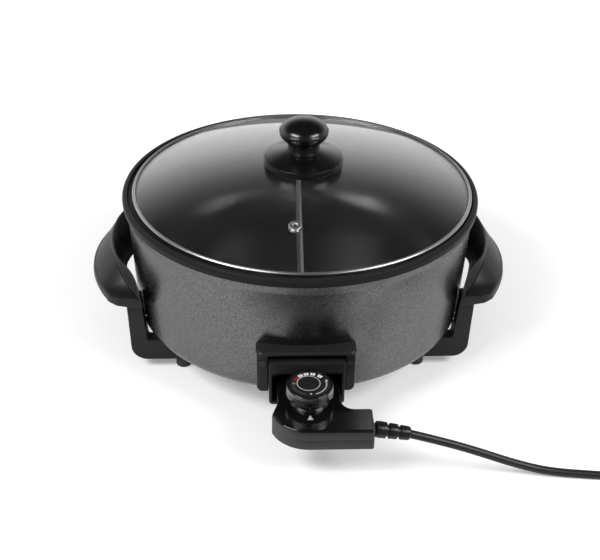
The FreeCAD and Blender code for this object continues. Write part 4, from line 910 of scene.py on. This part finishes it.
def makeHousing():
    # Nose into the socket, curved shoulder at the left and the arm that runs to the right
    b = body
    x = b["x"]
    left, right, arm = x - b["half"], x + b["half"], x + b["reach"]
    line = [(left, b["noseBack"]), (left, -210), (x - 34.6, -228), (x - 24.6, b["front"]), (arm, b["front"]),
            (arm, b["armRear"]), (right, b["armRear"]), (right, b["noseBack"])]
    radii = [6.0, 14.0, 4.0, 35.0, 2.5, 2.5, 12.0, 6.0]
    bores = []
    for offset, radius in ((-20, 3.4), (0, 2.95), (20, 3.4)):
        bore = turned([(0, -8), (radius, -8), (radius, 3), (0, 3)], 32)
        bores.append(tilted(bore, (x + offset, b["noseBack"], 53.0), (0, 1, 0)))
    seam = 0.25
    lower = slab(line, radii, softEdges(b["low"], b["part"] - 0.02, 0.6, seam), 10)
    upper = slab(line, radii, softEdges(b["part"] + 0.02, b["top"], seam, 1.8), 10)
    noseCut = slab(box2(-60, 60, b["noseFront"], b["noseBack"] + 2), [0.5] * 4,
                   softEdges(30, b["noseLow"], 0, 0, 2))
    places = ((x - 24, -231.0), (x + 12, -244.0), (x + 43.6, -227.4))
    screws = [rod(2.85, 35, 42.3, sx, sy, 32) for sx, sy in places]
    makePiece("housingLower", [lower], housingFinish, "controller", ["housing_lower"],
              bores + [noseCut] + screws)
    makePiece("housingUpper", [upper], housingFinish, "controller", ["housing_upper"],
              bores)
    mark = slab([(x - 2.9, -235.8), (x + 2.5, -235.7), (x - 0.3, -229.2)], [0.25] * 3,
                softEdges(b["top"] - 0.05, b["top"] + 0.04, 0, 0, 2), 4)
    makePiece("pointerMark", [mark], scaleGrey, "controller")


dial = {"radius": 21.5, "bottom": 72.2, "top": 82.4, "disc": 18.3, "flutes": 64, "fluteTop": 79.2,
        "depth": 0.45}


def makeDial():
    d, b = dial, body
    centre = (b["x"], b["dialY"])
    collar = [(0, 63.0), (17.4, 63.0), (17.4, 64.2), (16.0, 64.8), (16.0, 67.6), (15.3, 68.0), (15.3, 69.0),
              (16.0, 69.4), (16.0, 71.8), (0, 71.8)]
    radii = [0.1, 0.5, 0.6, 0.3, 0.2, 0.2, 0.3, 0.2]
    makePiece("dialCollar", [turned(roundCorners(collar, radii, 5, closed=False), 96, centre)], dialPlastic,
              "controller", ["dial_collar"])
    # Flutes: below the bevel the radius dips by a power of the cosine of the angle times their count
    edge, low, top, disc = d["radius"], d["bottom"], d["top"], d["disc"]
    line = [(0, low), (edge - 0.4, low), (edge, low + 0.4), (edge, top - 0.9), (edge - 0.6, top),
            (disc + 0.2, top), (disc + 0.1, top - 0.3), (0, top - 0.3)]
    line = roundCorners(line, [0.4, 0.3, 0.9, 0.4, 0.1, 0.1], 6, closed=False)
    line = np.vstack([line[:13], [(edge, z) for z in np.linspace(low + 1.0, d["fluteTop"] + 0.4, 9)],
                      line[13:]])
    shell = turned(line, 576, centre)
    vertices, faces = shell
    offset = vertices[:, :2] - centre
    radius = np.linalg.norm(offset, axis=1)
    angle = np.arctan2(offset[:, 1], offset[:, 0])
    scallop = np.maximum(0, np.cos(angle * d["flutes"])) ** 1.5
    height = vertices[:, 2]
    band = np.clip((d["fluteTop"] - height) / 0.7, 0, 1) * np.clip(radius - 20.0, 0, 1)
    depth = d["depth"] * scallop * band
    vertices = vertices.copy()
    vertices[:, :2] -= offset / np.maximum(radius, 1e-6)[:, None] * depth[:, None]
    makePiece("dialBody", [(vertices, faces)], dialPlastic, "dial", ["dial"])
    plate = roundCorners([(0, top - 0.5), (disc, top - 0.5), (disc, top), (0, top)], [0.1, 0.12], 4,
                         closed=False)
    makePiece("dialDisc", [turned(plate, 96, centre)], blackMoulding, "dial",
              ["dial_scale"])
    makeDialPrint(centre)


def arcBand(inner, outer, start, end, low, high, steps=24):
    # A flat band between two radii from one angle to another: its four corners carried round the axis
    angle = np.radians(np.linspace(start, end, steps))[:, None]
    radius = np.array([inner, outer, outer, inner])
    height = np.array([low, low, high, high])
    rows = np.stack([radius * np.cos(angle), radius * np.sin(angle), height + 0 * angle], -1)
    return skin(rows)


def makeDialPrint(centre):
    low, high = dial["top"] - 0.02, dial["top"] + 0.04
    shift = (*centre, 0)
    ring = turned([(10.0, low), (10.75, low), (10.75, high), (10.0, high)], 96, (-1.1, 1.0), closed=True)
    white = [arcBand(12.7, 16.1, at - 8.6, at + 8.6, low, high) for at in (49, 77, 101, 124)]
    head = slab([(13.6, 3.0), (16.9, 3.6), (15.0, 6.9)], [0.15] * 3, np.array([(0.0, low), (0.0, high)]), 4)
    dot = turned([(0, low), (0.95, low), (0.95, high), (0, high)], 32, (0.5, -14.3))
    pale = [ring, arcBand(14.6, 15.6, -72, 12, low, high, 40), head, dot]
    ticks = [arcBand(14.7, 15.9, at, at + 2.2, low, high, 4) for at in range(190, 256, 6)]
    makePiece("dialMarksWhite", [moved(shell, shift) for shell in white], scaleWhite, "dial")
    makePiece("dialMarksPale", [moved(shell, shift) for shell in pale], scaleGrey, "dial")
    makePiece("dialTicks", [moved(shell, shift) for shell in ticks], scaleGreen, "dial")
    makePiece("dialMarkRed", [moved(arcBand(12.7, 16.1, 138, 160, low, high), shift)], scaleRed, "dial")
    makePiece("dialMarkGreen", [moved(arcBand(12.9, 15.9, 171, 182, low, high), shift)], scaleGreen, "dial")
    digits = []
    for text, at in (("1", 49), ("2", 77), ("3", 101), ("4", 124), ("5", 147)):
        curve = bpy.data.curves.new("digit", "FONT")
        curve.body, curve.size, curve.extrude = text, 3.6, 0.02
        curve.align_x, curve.align_y = "CENTER", "CENTER"
        holder = addObject("digit", curve)
        mesh = bakedMesh(holder)
        bpy.data.objects.remove(holder)
        # The digit's top points to the dial's middle, so it reads upright at the pointer
        turn = Matrix.Rotation(math.radians(at + 90), 4, "Z")
        mesh.transform(Matrix.Translation((0, -14.4, 0)))
        mesh.transform(turn)
        mesh.transform(Matrix.Translation((centre[0], centre[1] + panShift, high + 0.01)))
        mesh.transform(Matrix.Scale(0.001, 4))
        digits.append(addObject("digit", mesh))
    with bpy.context.temp_override(active_object=digits[0], selected_editable_objects=digits,
                                   selected_objects=digits, object=digits[0]):
        bpy.ops.object.join()
    piece = digits[0]
    piece.name = "dialDigits"
    piece.data.materials.clear()
    piece.data.materials.append(blackMoulding)
    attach(piece, "dial")


makeHousing()
makeDial()
print("controller and dial made")

# The solids that stay have finishes of their own
kept = [(galvanisedSheet, "base_plate reflector"), (castAluminium, "heat_spreader"),
        (elementSheath, "heating_element"), (platedPin, "terminal_pins"), (ceramic, "pin_bushes"),
        (blackScrew, "bracket_screws"), (brassContact, "contact_sleeves"),
        (switchPlastic, "thermostat_block"),
        (steelTrim,
         "element_clamps centre_stud stud_spacer stud_nut probe_guide grip_screws leg_wall_screws"),
        (steelTrim, "leg_base_screws leg_nuts knob_screw housing_screws sensor_probe dial_shaft")]
for finish, names in kept:
    for name in names.split():
        nodes[name].data.materials.clear()
        nodes[name].data.materials.append(finish)
print("solids kept:", sum(len(names.split()) for _, names in kept))

studio = {"floorTone": 0.86, "world": 0.45, "keyPower": 13.0, "fillPower": 10.5}
bpy.context.scene.view_settings.view_transform = "Standard"


def makeFloor():
    # A pale floor whose far part glows for the camera, so that it is white. In front of the object glossy
    # rays see a painted shadow on it, a dark patch where nothing lies, so the casing shows a painted dark
    # reflection.
    floor = addObject("studioFloor", bpy.data.meshes.new("studioFloor"))
    reach = 6.0
    floor.data.from_pydata([(-reach, -reach, 0), (reach, -reach, 0), (reach, reach, 0), (-reach, reach, 0)],
                           [], [(0, 1, 2, 3)])
    made = bpy.data.materials.new("studioFloor")
    made.use_nodes = True
    tree = made.node_tree
    tree.nodes.clear()
    place = put(tree, "TexCoord").outputs["Object"]
    ray = put(tree, "LightPath")
    speckle = put(tree, "TexNoise", {"Vector": place, "Scale": 900.0, "Detail": 2.0})
    tone = mixed(tree, speckle.outputs["Fac"], grey(studio["floorTone"] - 0.01),
                 grey(studio["floorTone"] + 0.01))
    paper = put(tree, "BsdfDiffuse", {"Color": tone})
    away = put(tree, "VectorMath", {0: place, 1: (0.0, 0.0, 0.0)}, operation="DISTANCE").outputs["Value"]
    glow = ramp(tree, away, 0.22, 0.7, 0.22, 0.6)
    seen = math2(tree, "MULTIPLY", glow, ray.outputs["Is Camera Ray"])
    light = put(tree, "Emission", {"Strength": seen})
    lit = put(tree, "AddShader", {0: paper.outputs[0], 1: light.outputs[0]})
    x, y, _ = put(tree, "SeparateXYZ", {0: place}).outputs
    # Painted shade: a dark patch ahead of the object that only glossy rays see, giving a painted dark
    # reflection
    ahead = ramp(tree, y, -0.27, -0.32, 0.0, 1.0)
    beside = ramp(tree, math2(tree, "ABSOLUTE", x), 0.26, 0.14, 0.0, 1.0)
    paintedShadePatch = math2(tree, "MULTIPLY", ahead, beside)
    paintedShadePatch = math2(tree, "MULTIPLY", paintedShadePatch, ray.outputs["Is Glossy Ray"])
    dark = put(tree, "BsdfDiffuse", {"Color": grey(0.01)})
    both = put(tree, "MixShader", {0: paintedShadePatch, 1: lit.outputs[0], 2: dark.outputs[0]})
    put(tree, "OutputMaterial", {"Surface": both.outputs[0]})
    floor.data.materials.append(made)


def makeWorld():
    # White to the camera. Gloss sees a white wall up to ten degrees that fades to a dark ceiling, and
    # diffuse light is an even grey.
    world = bpy.data.worlds.new("studio")
    bpy.context.scene.world = world
    world.use_nodes = True
    tree = world.node_tree
    tree.nodes.clear()
    ray = put(tree, "LightPath")
    place = put(tree, "TexCoord").outputs["Generated"]
    across, along, up = put(tree, "SeparateXYZ", {0: place}).outputs
    wall = ramp(tree, up, 0.2, 0.68, 1.65, 0.06)
    behind = ramp(tree, along, -0.3, 0.4, 0.25, 1.0)
    beside = ramp(tree, across, -0.7, 0.7, 1.15, 0.85, smooth=False)
    seen = math2(tree, "MULTIPLY", math2(tree, "MULTIPLY", wall, behind), beside)
    glossy = math2(tree, "MULTIPLY", seen, ray.outputs["Is Glossy Ray"])
    plain = math2(tree, "MULTIPLY", math2(tree, "SUBTRACT", 1.0, ray.outputs["Is Glossy Ray"]),
                  studio["world"])
    level = math2(tree, "ADD", glossy, plain)
    level = math2(tree, "MAXIMUM", level, ray.outputs["Is Camera Ray"])
    back = put(tree, "Background", {"Strength": level})
    put(tree, "OutputWorld", {"Surface": back.outputs[0]})


def softbox(name, azimuth, elevation, distance, width, height, power):
    # Azimuth from the front towards the right, elevation above the table, both in degrees
    a, e = math.radians(azimuth), math.radians(elevation)
    data = bpy.data.lights.new(name, "AREA")
    data.shape, data.size, data.size_y, data.energy = "RECTANGLE", width, height, power
    lamp = addObject(name, data)
    aim = Vector((0, 0.035, 0.12))
    away = Vector((math.sin(a) * math.cos(e), -math.cos(a) * math.cos(e), math.sin(e)))
    lamp.location = aim + away * distance
    lamp.rotation_euler = (-away).to_track_quat("-Z", "Y").to_euler()


makeFloor()
makeWorld()
softbox("leftSoftbox", -51, 43, 1.3, 0.7, 0.4, studio["keyPower"])
softbox("rightSoftbox", 56, 38, 1.3, 0.7, 0.4, studio["fillPower"])
print("studio made")
